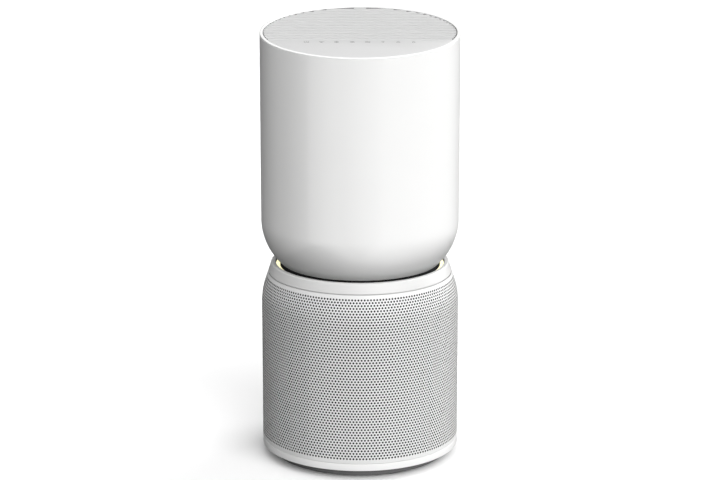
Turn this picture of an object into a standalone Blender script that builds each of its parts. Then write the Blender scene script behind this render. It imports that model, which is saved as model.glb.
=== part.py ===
"""Air purifier: a white fan head on a perforated filter base, with a dark neck and a light ring between.

Metres, +Z up. The origin is on the floor under the middle, and the control panel is towards -Y.
Everything is worked out from the named sizes below. Touching pieces keep the clearance GAP.
"""
import math

import bmesh
import bpy
from mathutils import Matrix, Vector

MM = 0.001
GAP = 0.3 * MM                    # clearance between pieces that touch

# Overall sizes
BODY_RADIUS = 123 * MM            # both drums
BASE_TOP = 248 * MM               # lip of the collar
HEAD_HEIGHT = 289.2 * MM          # head, from its lower edge to the middle of the top
TOP_TILT = math.radians(4.5)      # the top slopes down towards the front
WALL = 2.5 * MM                   # moulded shells and ducts
SHEET = 1.5 * MM                  # perforated cover
BOARD = 1.6 * MM                  # circuit boards
WIDE_STEPS = 36                   # sides of the large turned pieces
SMALL_STEPS = 24                  # sides of the small turned pieces

# Foot, lock and bottom ring
FOOT_INSET = 13.6 * MM            # foot behind the bottom ring
PAD_THICKNESS = 1.5 * MM
COVER_TOP = 14 * MM               # top of the turning base cover's plate
RING_LOW = 11.9 * MM
RING_HIGH = 20.8 * MM
LEDGE_WIDTH = 4.5 * MM            # bayonet ledges on the bottom ring
LEDGE_LOW = 13.0 * MM
LEDGE_HIGH = 16.4 * MM
LUG_COUNT = 3
LUG_ANGLE = math.radians(20)
LUG_HEIGHT = 2.6 * MM
LUG_SIDE_ROOM = math.radians(4)   # free angle on each side of a lug in its slot
LOCK_TURN = math.radians(30)      # from free to locked
STOP_ANGLE = math.radians(3)
STOP_ROOM = math.radians(1.5)     # between a lug and its stop
RING_ROOM = 4 * MM                # between the foot and the bottom ring, bridged by the ledges

# Intake cover's shoulder and the collar
SHOULDER_RADIUS = 80 * MM
SHOULDER_ANGLE = math.radians(18)
SHOULDER_START = 51 * MM          # below the collar's lip
COLLAR_HEIGHT = 12.7 * MM
LIP_WIDTH = 5.2 * MM
GROOVE_WIDTH = 5.6 * MM           # between the neck and the lip
LIGHT_DEPTH = 5 * MM              # light ring's face below the lip

# Neck, filter and cage
NECK_INSET = 23.3 * MM            # neck behind the drums
NECK_WALL = 9.7 * MM
NECK_SCREWS = 4
CAGE_PLATE = 3.5 * MM
CAGE_POSTS = 6
FILTER_GROW = 12 * MM             # room between the filter and the cage's posts
FILTER_DEPTH = 36 * MM            # media, from the outer face to the carbon layer
CARBON_DEPTH = 4 * MM
CAP_THICKNESS = 5 * MM
GASKET_THICKNESS = 2.9 * MM

# Head
HEAD_CURVE = 74 * MM              # radius of the head's rounded lower edge
HEAD_CURVE_HEIGHT = 54.2 * MM
DUCT_INSET = 1.2 * MM             # duct's outside behind the neck's outside
FAN_ROOM = 12 * MM                # between the impeller and the duct
FAN_DEPTH = 56 * MM
EYE_WIDTH = 18 * MM               # impeller rim to its eye
BLADES = 11
VANES = 9
ROTOR_RADIUS = 33 * MM
ROTOR_HEIGHT = 28 * MM
SHAFT_RADIUS = 3.5 * MM
BEARING_RADIUS = 8 * MM
HUB_RADIUS = 51.5 * MM
FLARE_HEIGHT = 54 * MM
MOTOR_SCREWS = 3

# Top
RIM_WIDTH = 4 * MM
RIM_THICKNESS = 1.5 * MM
TOP_RECESS = 0.3 * MM             # panel and grille below the rim
PANEL_THICKNESS = 2.7 * MM
CHORD_Y = -38.6 * MM              # straight edge between panel and grille
SLAT_PITCH = 7.6 * MM
SLAT_WIDTH = 4.2 * MM
SLAT_HEIGHT = 8 * MM
DECK_DEPTH = 14 * MM              # underside of the deck below the top

# Rear sockets and boards
INLET_HEIGHT = 81 * MM            # above the head's lower edge
INLET_SIZE = (25.4 * MM, 17.4 * MM)
SENSOR_SIZE = (30 * MM, 26 * MM)
VENT_SIZE = (26 * MM, 18 * MM)
LEAD_RADIUS = 1.3 * MM
LEAD_ANGLE = math.radians(205)    # where the panel's lead passes down beside the deck

# Values that follow from the sizes above
TILT_SLOPE = math.tan(TOP_TILT)
HEAD_LOW = BASE_TOP + 0.8 * MM
TOP = HEAD_LOW + HEAD_HEIGHT
NECK_RADIUS = BODY_RADIUS - NECK_INSET
FOOT_RADIUS = BODY_RADIUS - FOOT_INSET
LUG_LOW = LEDGE_HIGH + 0.4 * MM
LUG_HIGH = LUG_LOW + LUG_HEIGHT
SEAT_HIGH = LUG_HIGH + GAP        # the filter stands clear above the turning cover's rim
CAGE_HIGH = BASE_TOP - 15 * MM
CAGE_LOW = RING_HIGH + GAP
FILTER_RADIUS = BODY_RADIUS - FILTER_GROW - 11 * MM
FILTER_LOW = SEAT_HIGH + GAP
FILTER_HIGH = CAGE_HIGH - CAGE_PLATE - GASKET_THICKNESS - 2 * GAP
BORE_RADIUS = FILTER_RADIUS - FILTER_DEPTH
DUCT_OUTER = NECK_RADIUS - DUCT_INSET
DUCT_INNER = DUCT_OUTER - WALL
FAN_RADIUS = DUCT_INNER - FAN_ROOM
EYE_RADIUS = FAN_RADIUS - EYE_WIDTH
THROAT_RADIUS = EYE_RADIUS - 3.5 * MM
FLOOR_HIGH = HEAD_LOW + 3 * MM
BELL_LOW = FLOOR_HIGH + GAP
BELL_HIGH = BELL_LOW + WALL
FAN_LOW = BELL_HIGH + 7.4 * MM
FAN_HIGH = FAN_LOW + FAN_DEPTH
ROTOR_LOW = FAN_HIGH + GAP
ROTOR_HIGH = ROTOR_LOW + ROTOR_HEIGHT
MOUNT_LOW = ROTOR_HIGH + 3 * MM
MOUNT_HIGH = MOUNT_LOW + 3.5 * MM
SHELL_INNER = BODY_RADIUS - WALL
RIM_INNER = BODY_RADIUS - RIM_WIDTH
LID_RADIUS = RIM_INNER - 0.6 * MM
LID_HIGH = TOP - TOP_RECESS
DECK_LOW = TOP - DECK_DEPTH
DECK_HIGH = DECK_LOW + WALL
DECK_OPENING = LID_RADIUS - 3.4 * MM
FLARE_LOW = DECK_LOW - FLARE_HEIGHT
INLET_Z = HEAD_LOW + INLET_HEIGHT
SENSOR_Z = FLARE_LOW - SENSOR_SIZE[1] / 2 - 2 * MM


for stale in list(bpy.data.objects):
    bpy.data.objects.remove(stale, do_unlink=True)


def finish(name, color, roughness, metallic=0.0, alpha=1.0):
    """A Principled material."""
    surface = bpy.data.materials.new(name)
    surface.use_nodes = True
    shader = surface.node_tree.nodes["Principled BSDF"]
    shader.inputs["Base Color"].default_value = (*color, 1.0)
    shader.inputs["Roughness"].default_value = roughness
    shader.inputs["Metallic"].default_value = metallic
    shader.inputs["Alpha"].default_value = alpha
    surface.diffuse_color = (*color, 1.0)
    return surface


WHITE = finish("white_shell", (0.83, 0.83, 0.82), 0.42)
RIM_WHITE = finish("rim_white", (0.88, 0.88, 0.87), 0.28)
PANEL = finish("panel_white", (0.78, 0.78, 0.78), 0.35)
GRILLE = finish("grille_white", (0.72, 0.72, 0.72), 0.45)
MESH = finish("mesh_white", (0.78, 0.78, 0.78), 0.5)
NECK = finish("neck_black", (0.012, 0.012, 0.012), 0.45)
GLOW = finish("light_diffuser", (1.0, 0.96, 0.62), 0.5)
FOOT = finish("foot_grey", (0.16, 0.16, 0.16), 0.55)
INNER = finish("inner_grey", (0.30, 0.31, 0.32), 0.55)
PAD = finish("pad_rubber", (0.05, 0.05, 0.05), 0.85)
MEDIA = finish("filter_media", (0.86, 0.87, 0.85), 0.95)
CARBON = finish("carbon_black", (0.02, 0.02, 0.02), 0.95)
SLEEVE = finish("sleeve_mesh", (0.10, 0.10, 0.11), 0.9)
FOAM = finish("gasket_foam", (0.06, 0.06, 0.06), 0.95)
TAB = finish("tab_fabric", (0.12, 0.30, 0.48), 0.9)
STEEL = finish("steel", (0.62, 0.62, 0.63), 0.3, 1.0)
COPPER = finish("copper", (0.72, 0.36, 0.18), 0.4, 1.0)
BOARD_GREEN = finish("board_green", (0.02, 0.16, 0.07), 0.5)
PART_BLACK = finish("part_black", (0.02, 0.02, 0.02), 0.45)
LEAD = finish("lead_sleeve", (0.03, 0.03, 0.03), 0.6)


def add(name, bm, surface):
    """Turns a bmesh into a named object with faces pointing out."""
    bmesh.ops.recalc_face_normals(bm, faces=bm.faces)
    mesh = bpy.data.meshes.new(name)
    bm.to_mesh(mesh)
    bm.free()
    mesh.materials.append(surface)
    mesh.shade_smooth()
    mesh.set_sharp_from_angle(angle=math.radians(35))
    piece = bpy.data.objects.new(name, mesh)
    bpy.context.collection.objects.link(piece)
    return piece


def spin_profile(bm, profile, steps):
    """Turns a closed (radius, height) outline around Z inside a bmesh."""
    ring = [bm.verts.new((radius, 0.0, height)) for radius, height in profile]
    edges = []
    for first, second in zip(ring, ring[1:] + ring[:1]):
        if max(first.co.x, second.co.x) > 0:
            edges.append(bm.edges.new((first, second)))
    bmesh.ops.spin(bm, geom=ring + edges, cent=(0, 0, 0), axis=(0, 0, 1), angle=math.tau,
                   steps=steps, use_merge=True)
    bmesh.ops.remove_doubles(bm, verts=bm.verts, dist=0.001 * MM)


def turned(name, profile, surface, steps=WIDE_STEPS):
    """A turned piece from a closed (radius, height) outline."""
    bm = bmesh.new()
    spin_profile(bm, profile, steps)
    return add(name, bm, surface)


def ring(name, inner, outer, low, high, surface, steps=WIDE_STEPS):
    """A plain ring, or a disc when its inner radius is zero."""
    return turned(name, [(outer, high), (outer, low), (inner, low), (inner, high)], surface, steps)


def extrude_outline(bm, outline, low, high):
    """A flat outline of (x, y) points as a closed slab inside a bmesh."""
    lower = [bm.verts.new((x, y, low)) for x, y in outline]
    upper = [bm.verts.new((x, y, high)) for x, y in outline]
    bm.faces.new(lower[::-1])
    bm.faces.new(upper)
    count = len(outline)
    for index in range(count):
        after = (index + 1) % count
        bm.faces.new((lower[index], lower[after], upper[after], upper[index]))


def box_outline(low_x, low_y, high_x, high_y):
    return [(low_x, low_y), (high_x, low_y), (high_x, high_y), (low_x, high_y)]


def slab(name, outline, low, high, surface):
    bm = bmesh.new()
    extrude_outline(bm, outline, low, high)
    return add(name, bm, surface)


def box(name, low, high, surface):
    return slab(name, box_outline(low[0], low[1], high[0], high[1]), low[2], high[2], surface)


def rod(name, start, end, radius, surface, steps=12):
    """A round bar from one point to another."""
    start = Vector(start)
    along = Vector(end) - start
    bm = bmesh.new()
    spin_profile(bm, [(0, along.length), (radius, along.length), (radius, 0), (0, 0)], steps)
    turn = along.to_track_quat("Z", "Y").to_matrix().to_4x4()
    bmesh.ops.transform(bm, matrix=Matrix.Translation(start) @ turn, verts=bm.verts)
    return add(name, bm, surface)


def combine(piece, operation, tool):
    """Joins a hidden tool shape to a piece, or cuts it away."""
    change = piece.modifiers.new(tool.name, "BOOLEAN")
    change.operation = operation
    change.solver = "EXACT"
    change.object = tool
    tool.hide_render = True
    tool.display_type = "WIRE"


def slope(piece, weight=lambda height: 1.0):
    """Lifts a piece's points towards the back, to follow the sloping top."""
    for vert in piece.data.vertices:
        vert.co.z += vert.co.y * TILT_SLOPE * weight(vert.co.z)
    return piece


def arc(centre_r, centre_z, radius, start, end, count):
    """Points on an arc in the (radius, height) plane, with angles in radians."""
    points = []
    for index in range(count + 1):
        angle = start + (end - start) * index / count
        points.append((centre_r + radius * math.cos(angle), centre_z + radius * math.sin(angle)))
    return points


def around(count, first=0.0):
    """Evenly spaced angles."""
    return [first + math.tau * index / count for index in range(count)]


def polar(radius, angle, height):
    return (radius * math.cos(angle), radius * math.sin(angle), height)


def sector_outline(inner, outer, start, end, count=4):
    """A piece of a flat ring between two angles."""
    angles = [start + (end - start) * index / count for index in range(count + 1)]
    outside = [polar(outer, angle, 0)[:2] for angle in angles]
    inside = [polar(inner, angle, 0)[:2] for angle in reversed(angles)]
    return outside + inside


def shoulder_radius(height, inset=0.0):
    """Outer radius of the base at a height: straight, then an arc, then a straight slope."""
    rise = height - (BASE_TOP - SHOULDER_START)
    if rise <= 0:
        return BODY_RADIUS - inset
    arc_rise = SHOULDER_RADIUS * math.sin(SHOULDER_ANGLE)
    if rise < arc_rise:
        return BODY_RADIUS - inset - SHOULDER_RADIUS + math.sqrt(SHOULDER_RADIUS ** 2 - rise ** 2)
    arc_drop = SHOULDER_RADIUS * (1 - math.cos(SHOULDER_ANGLE))
    return BODY_RADIUS - inset - arc_drop - (rise - arc_rise) * math.tan(SHOULDER_ANGLE)


def lid_outline(radius, start_y, towards_front):
    """The round top cut by a straight edge: the part in front of it, or the part behind."""
    end_angle = math.asin(start_y / radius)
    step = math.tau / WIDE_STEPS
    if towards_front:
        first, last = -math.pi - end_angle, end_angle
    else:
        first, last = end_angle, math.pi - end_angle
    angles = [first]
    index = math.floor(first / step) + 1
    while index * step < last - step / 8:
        if index * step > first + step / 8:
            angles.append(index * step)
        index += 1
    angles.append(last)
    return [polar(radius, angle, 0)[:2] for angle in angles]


def build_head_shell():
    centre_r = BODY_RADIUS - HEAD_CURVE
    curve_high = HEAD_LOW + HEAD_CURVE_HEIGHT
    low_angle = -math.asin(HEAD_CURVE_HEIGHT / HEAD_CURVE)
    outer = arc(centre_r, curve_high, HEAD_CURVE, low_angle, 0, 6)
    inner_high = math.asin((FLOOR_HIGH - curve_high) / (HEAD_CURVE - WALL))
    inner = arc(centre_r, curve_high, HEAD_CURVE - WALL, 0, inner_high, 5)
    edge_high = TOP - RIM_THICKNESS - GAP
    floor_inner = NECK_RADIUS - NECK_WALL
    profile = [(floor_inner, HEAD_LOW)] + outer + [(BODY_RADIUS, edge_high), (SHELL_INNER, edge_high)]
    profile += inner + [(floor_inner, FLOOR_HIGH)]
    shell = slope(turned("head_shell", profile, WHITE), lambda height: float(height > DECK_LOW))
    windows = bmesh.new()
    for (width, height), middle in ((INLET_SIZE, INLET_Z), (VENT_SIZE, SENSOR_Z)):
        half = width / 2 + GAP
        outline = box_outline(-half, SHELL_INNER - 8 * MM, half, BODY_RADIUS + 5 * MM)
        extrude_outline(windows, outline, middle - height / 2 - GAP, middle + height / 2 + GAP)
    combine(shell, "DIFFERENCE", add("shell_windows", windows, WHITE))


def build_top():
    """Rim, control panel, outlet grille and the deck that carries them."""
    skirt_inner = RIM_INNER
    skirt_outer = SHELL_INNER - GAP
    skirt_low = TOP - 6 * MM
    slope(turned("rim_ring", [
        (BODY_RADIUS - 0.4 * MM, TOP), (BODY_RADIUS, TOP - 0.4 * MM), (BODY_RADIUS, TOP - RIM_THICKNESS),
        (skirt_outer, TOP - RIM_THICKNESS), (skirt_outer, skirt_low), (skirt_inner, skirt_low),
        (skirt_inner, TOP - 0.3 * MM), (skirt_inner + 0.3 * MM, TOP)], RIM_WHITE))
    panel_low = LID_HIGH - PANEL_THICKNESS
    slope(slab("control_panel", lid_outline(LID_RADIUS, CHORD_Y, True), panel_low, LID_HIGH, PANEL))

    grille_edge = CHORD_Y + GAP
    frame_width = 3 * MM
    grille_low = DECK_HIGH + GAP
    grille = slope(slab("outlet_grille", lid_outline(LID_RADIUS, grille_edge, False),
                        grille_low, LID_HIGH, GRILLE))
    hollow_outline = lid_outline(LID_RADIUS - frame_width, grille_edge + frame_width, False)
    hollow = slab("grille_hollow", hollow_outline, grille_low - 1 * MM, LID_HIGH + 1 * MM, GRILLE)
    combine(grille, "DIFFERENCE", slope(hollow))
    slats = bmesh.new()
    slat_y = grille_edge + SLAT_PITCH
    slat_reach = LID_RADIUS - frame_width / 2
    while slat_y + SLAT_WIDTH < slat_reach - 2 * MM:
        half = math.sqrt(slat_reach ** 2 - (slat_y + SLAT_WIDTH) ** 2)
        extrude_outline(slats, box_outline(-half, slat_y, half, slat_y + SLAT_WIDTH),
                        LID_HIGH - SLAT_HEIGHT, LID_HIGH - 0.02 * MM)
        slat_y += SLAT_PITCH
    combine(grille, "UNION", slope(add("grille_slats", slats, GRILLE)))
    ribs = bmesh.new()
    for rib_x in (-0.45 * LID_RADIUS, 0.0, 0.45 * LID_RADIUS):
        rib_end = math.sqrt(slat_reach ** 2 - (abs(rib_x) + 1 * MM) ** 2)
        rib_outline = box_outline(rib_x - 1 * MM, grille_edge + frame_width / 2, rib_x + 1 * MM, rib_end)
        extrude_outline(ribs, rib_outline, grille_low + 0.1 * MM, LID_HIGH - SLAT_HEIGHT + 1 * MM)
    combine(grille, "UNION", slope(add("grille_ribs", ribs, GRILLE)))

    board_half = 0.66 * BODY_RADIUS
    board_low = DECK_HIGH + GAP
    guide_low = board_low + BOARD + GAP
    wall_front = CHORD_Y - 1.8 * MM
    slope(box("control_board", (-board_half, wall_front - 34 * MM, board_low),
              (board_half, wall_front - 1 * MM, board_low + BOARD), BOARD_GREEN))
    slope(box("icon_light_guide", (-board_half + 4 * MM, wall_front - 14 * MM, guide_low),
              (board_half - 4 * MM, wall_front - 2 * MM, panel_low - GAP), GRILLE))

    deck = slope(ring("top_deck", 0, SHELL_INNER - GAP, DECK_LOW, DECK_HIGH, INNER))
    opening = slab("deck_opening", lid_outline(DECK_OPENING, CHORD_Y + 3 * MM, False),
                   DECK_LOW - 1 * MM, DECK_HIGH + 1 * MM, INNER)
    combine(deck, "DIFFERENCE", slope(opening))
    supports = bmesh.new()
    wall_half = math.sqrt((LID_RADIUS - 3 * MM) ** 2 - wall_front ** 2)
    extrude_outline(supports, box_outline(-wall_half, wall_front, wall_half, CHORD_Y),
                    DECK_HIGH - 1 * MM, panel_low - GAP)
    for side in (-1, 1):
        centre = (side * 0.42 * BODY_RADIUS, -0.8 * BODY_RADIUS)
        post = [(centre[0] + 3 * MM * math.cos(a), centre[1] + 3 * MM * math.sin(a)) for a in around(8)]
        extrude_outline(supports, post, DECK_HIGH - 1 * MM, panel_low - GAP)
    combine(deck, "UNION", slope(add("deck_supports", supports, INNER)))
    notch = bmesh.new()
    lead_x, lead_y, _ = polar(SHELL_INNER, LEAD_ANGLE, 0)
    extrude_outline(notch, box_outline(lead_x - 2 * MM, lead_y - 4 * MM, lead_x + 9 * MM, lead_y + 4 * MM),
                    DECK_LOW - 2 * MM, DECK_HIGH + 2 * MM)
    combine(deck, "DIFFERENCE", slope(add("deck_notch", notch, INNER)))


def vane(bm, stations, thickness):
    """A curved blade: each station gives an angle, two radii and two heights for one cross-section."""
    rows = []
    for angle, low_radius, high_radius, low, high in stations:
        side = Vector((-math.sin(angle), math.cos(angle), 0)) * thickness / 2
        bottom = Vector(polar(low_radius, angle, low))
        top = Vector(polar(high_radius, angle, high))
        rows.append([bm.verts.new(point) for point in (bottom - side, bottom + side, top + side, top - side)])
    bm.faces.new(rows[0][::-1])
    bm.faces.new(rows[-1])
    for near, far in zip(rows, rows[1:]):
        for index in range(4):
            after = (index + 1) % 4
            bm.faces.new((near[index], near[after], far[after], far[index]))


def build_duct():
    """Fan duct with its flared outlet, guide vanes and the motor's hub, moulded in one."""
    duct_low = BELL_HIGH + GAP
    flare_high = DECK_LOW - GAP
    flare_inner = DECK_OPENING - 5 * MM
    duct = turned("fan_duct", [
        (flare_inner + WALL, flare_high), (DUCT_OUTER, FLARE_LOW), (DUCT_OUTER, duct_low),
        (DUCT_INNER, duct_low), (DUCT_INNER, FLARE_LOW), (flare_inner, flare_high)], INNER)
    slope(duct, lambda height: float(height > FLARE_LOW + 1 * MM))
    hub_inner = HUB_RADIUS - WALL
    hub_low = ROTOR_LOW + 4 * MM
    hub_high = MOUNT_HIGH + GAP + WALL
    hub = turned("duct_hub", [
        (0, hub_high), (HUB_RADIUS, hub_high), (HUB_RADIUS, hub_low), (hub_inner, hub_low),
        (hub_inner, MOUNT_HIGH + GAP), (0, MOUNT_HIGH + GAP)], INNER)
    combine(duct, "UNION", hub)
    vanes = bmesh.new()
    for first in around(VANES):
        stations = []
        for index in range(5):
            share = index / 4
            radius = HUB_RADIUS - 1 * MM + share * (DUCT_INNER - HUB_RADIUS + 2 * MM)
            stations.append((first + 0.35 * share, radius, radius, hub_low + 1 * MM, hub_high - 1 * MM))
        vane(vanes, stations, 2 * MM)
    combine(duct, "UNION", add("duct_vanes", vanes, INNER))
    combine(duct, "DIFFERENCE", screw_holes("hub_holes", motor_screw_places(), MOUNT_HIGH - 1 * MM,
                                            hub_high + 1 * MM, INNER))
    dome_low = hub_high + GAP
    dome_radius = HUB_RADIUS - 1 * MM
    dome = [(0, dome_low + 0.6 * dome_radius)]
    dome += [(dome_radius * math.cos(a), dome_low + 6 * MM + (0.6 * dome_radius - 6 * MM) * math.sin(a))
             for a in (1.2, 0.8, 0.4, 0.0)]
    dome += [(dome_radius, dome_low), (dome_radius - WALL, dome_low)]
    inner_radius = dome_radius - WALL
    dome += [(inner_radius * math.cos(a), dome_low + 4 * MM + (0.6 * inner_radius - 4 * MM) * math.sin(a))
             for a in (0.0, 0.5, 1.0)]
    dome.append((0, dome_low + 0.6 * inner_radius))
    turned("motor_dome", dome, INNER, SMALL_STEPS)


def motor_screw_places():
    radius = ROTOR_RADIUS + 8 * MM
    return [polar(radius, angle, 0)[:2] for angle in around(MOTOR_SCREWS, math.pi / 6)]


def neck_screw_places():
    radius = NECK_RADIUS - NECK_WALL + 1 * MM
    return [polar(radius, angle, 0)[:2] for angle in around(NECK_SCREWS, math.pi / 4)]


def screw_holes(name, places, low, high, surface):
    """Round cutters for clearance holes."""
    holes = bmesh.new()
    for x, y in places:
        outline = [(x + 1.8 * MM * math.cos(a), y + 1.8 * MM * math.sin(a)) for a in around(8)]
        extrude_outline(holes, outline, low, high)
    return add(name, holes, surface)


def screw(name, x, y, seat, length, shank, head):
    """A screw whose head sits under a seat and whose shank runs up from it."""
    bm = bmesh.new()
    head_height = 0.7 * head
    spin_profile(bm, [(0, length), (shank, length), (shank, 0), (head, 0), (head, -0.6 * head_height),
                      (0.7 * head, -head_height), (0, -head_height)], 12)
    bmesh.ops.translate(bm, vec=(x, y, seat), verts=bm.verts)
    return add(name, bm, STEEL)


def build_motor():
    """Outside-rotor motor hanging under its mount, with the impeller on its shaft."""
    tube_outer = BEARING_RADIUS + GAP + 3 * MM
    tube_inner = BEARING_RADIUS + GAP
    tube_low = ROTOR_LOW + 6 * MM
    mount_radius = HUB_RADIUS - WALL - 1 * MM
    shaft_high = MOUNT_LOW - 0.5 * MM
    mount = turned("motor_mount", [
        (0, MOUNT_HIGH), (mount_radius, MOUNT_HIGH), (mount_radius, MOUNT_LOW), (tube_outer, MOUNT_LOW),
        (tube_outer, tube_low), (tube_inner, tube_low), (tube_inner, MOUNT_LOW), (0, MOUNT_LOW)],
        STEEL, SMALL_STEPS)
    combine(mount, "DIFFERENCE", screw_holes("mount_holes", motor_screw_places(), MOUNT_LOW - 1 * MM,
                                             MOUNT_HIGH + 1 * MM, STEEL))
    for number, (x, y) in enumerate(motor_screw_places(), 1):
        screw(f"motor_screw_{number}", x, y, MOUNT_LOW - GAP, 6.5 * MM, 1.4 * MM, 3 * MM)

    bore = SHAFT_RADIUS + GAP
    for name, low in (("bearing_lower", tube_low + 1 * MM), ("bearing_upper", MOUNT_LOW - 6 * MM)):
        ring(name, bore, BEARING_RADIUS, low, low + 5 * MM, STEEL, SMALL_STEPS - 8)
    stator_outer = ROTOR_RADIUS - WALL
    board_high = ROTOR_HIGH - 1 * MM
    ring("motor_stator", tube_outer + GAP, stator_outer, tube_low + 0.5 * MM, board_high - BOARD - GAP,
         COPPER, SMALL_STEPS)
    ring("motor_board", tube_outer + GAP, stator_outer - 1 * MM, board_high - BOARD, board_high,
         BOARD_GREEN, SMALL_STEPS)

    cup_inner = ROTOR_RADIUS - 2 * MM
    plate_high = ROTOR_LOW + WALL
    shaft_low = FAN_HIGH - 16 * MM
    turned("rotor_cup", [
        (0, shaft_high), (SHAFT_RADIUS, shaft_high), (SHAFT_RADIUS, plate_high), (cup_inner, plate_high),
        (cup_inner, ROTOR_HIGH), (ROTOR_RADIUS, ROTOR_HIGH), (ROTOR_RADIUS, ROTOR_LOW),
        (SHAFT_RADIUS, ROTOR_LOW), (SHAFT_RADIUS, shaft_low), (0, shaft_low)], STEEL, SMALL_STEPS)

    hub_low = FAN_HIGH - 8 * MM
    impeller = turned("impeller", [
        (FAN_RADIUS, FAN_HIGH - 0.5 * MM), (FAN_RADIUS, FAN_HIGH - 2.5 * MM), (26 * MM, FAN_HIGH - 3.5 * MM),
        (12 * MM, hub_low), (bore, hub_low), (bore, FAN_HIGH), (0.5 * FAN_RADIUS, FAN_HIGH)], NECK)
    shroud_rise = 12 * MM
    shroud = turned("impeller_shroud", [
        (EYE_RADIUS, FAN_LOW), (EYE_RADIUS + 2 * MM, FAN_LOW), (FAN_RADIUS, FAN_LOW + shroud_rise),
        (FAN_RADIUS, FAN_LOW + shroud_rise + 2 * MM), (EYE_RADIUS, FAN_LOW + 3 * MM)], NECK)
    combine(impeller, "UNION", shroud)
    blades = bmesh.new()
    blade_start = 0.58 * FAN_RADIUS
    blade_end = FAN_RADIUS - 0.5 * MM
    for first in around(BLADES):
        stations = []
        for index in range(6):
            share = index / 5
            radius = blade_start + share * (blade_end - blade_start)
            climb = max(0.0, (radius - EYE_RADIUS) / (FAN_RADIUS - EYE_RADIUS))
            low = FAN_LOW + (2 * MM + climb * (shroud_rise - 1 * MM) if climb > 0.1 else 4 * MM)
            stations.append((first - 0.75 * share, radius, radius, low, FAN_HIGH - 1.5 * MM))
        vane(blades, stations, 1.8 * MM)
    combine(impeller, "UNION", add("impeller_blades", blades, NECK))
    nut_high = hub_low - GAP
    ring("impeller_nut", bore / math.cos(math.pi / 6), 8 * MM, nut_high - 6 * MM, nut_high, STEEL, 6)


def build_intake():
    """Bellmouth under the impeller and the finger guard in the neck."""
    lip_high = FAN_LOW + 1.5 * MM
    flange = min(NECK_RADIUS - 2 * MM, DUCT_OUTER)
    turned("bellmouth", [
        (flange, BELL_LOW), (flange, BELL_HIGH), (THROAT_RADIUS + 10 * MM, BELL_HIGH),
        (THROAT_RADIUS + 3.5 * MM, BELL_HIGH + 2 * MM), (THROAT_RADIUS + 1.8 * MM, lip_high),
        (THROAT_RADIUS, lip_high), (THROAT_RADIUS + 1 * MM, BELL_HIGH), (THROAT_RADIUS + 5 * MM, BELL_LOW)],
        INNER)
    guard_outer = NECK_RADIUS - NECK_WALL - GAP
    guard_low = BASE_TOP - 5 * MM
    guard_high = guard_low + 3 * MM
    guard = ring("finger_guard", guard_outer - 4 * MM, guard_outer, guard_low, guard_high, INNER)
    bars = bmesh.new()
    for angle in around(6):
        along = Matrix.Rotation(angle, 3, "Z")
        outline = [along @ Vector((x, y, 0)) for x, y in
                   box_outline(8 * MM, -1 * MM, guard_outer - 2 * MM, 1 * MM)]
        extrude_outline(bars, [(point.x, point.y) for point in outline],
                        guard_low + 0.3 * MM, guard_high - 0.3 * MM)
    combine(guard, "UNION", add("guard_bars", bars, INNER))
    for number, share in enumerate((0.16, 0.42, 0.70), 1):
        radius = share * guard_outer
        hoop = ring(f"guard_hoop_{number}", radius - 1 * MM, radius + 1.5 * MM,
                    guard_low + 0.1 * MM, guard_high - 0.1 * MM, INNER, SMALL_STEPS - 8)
        combine(guard, "UNION", hoop)


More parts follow.
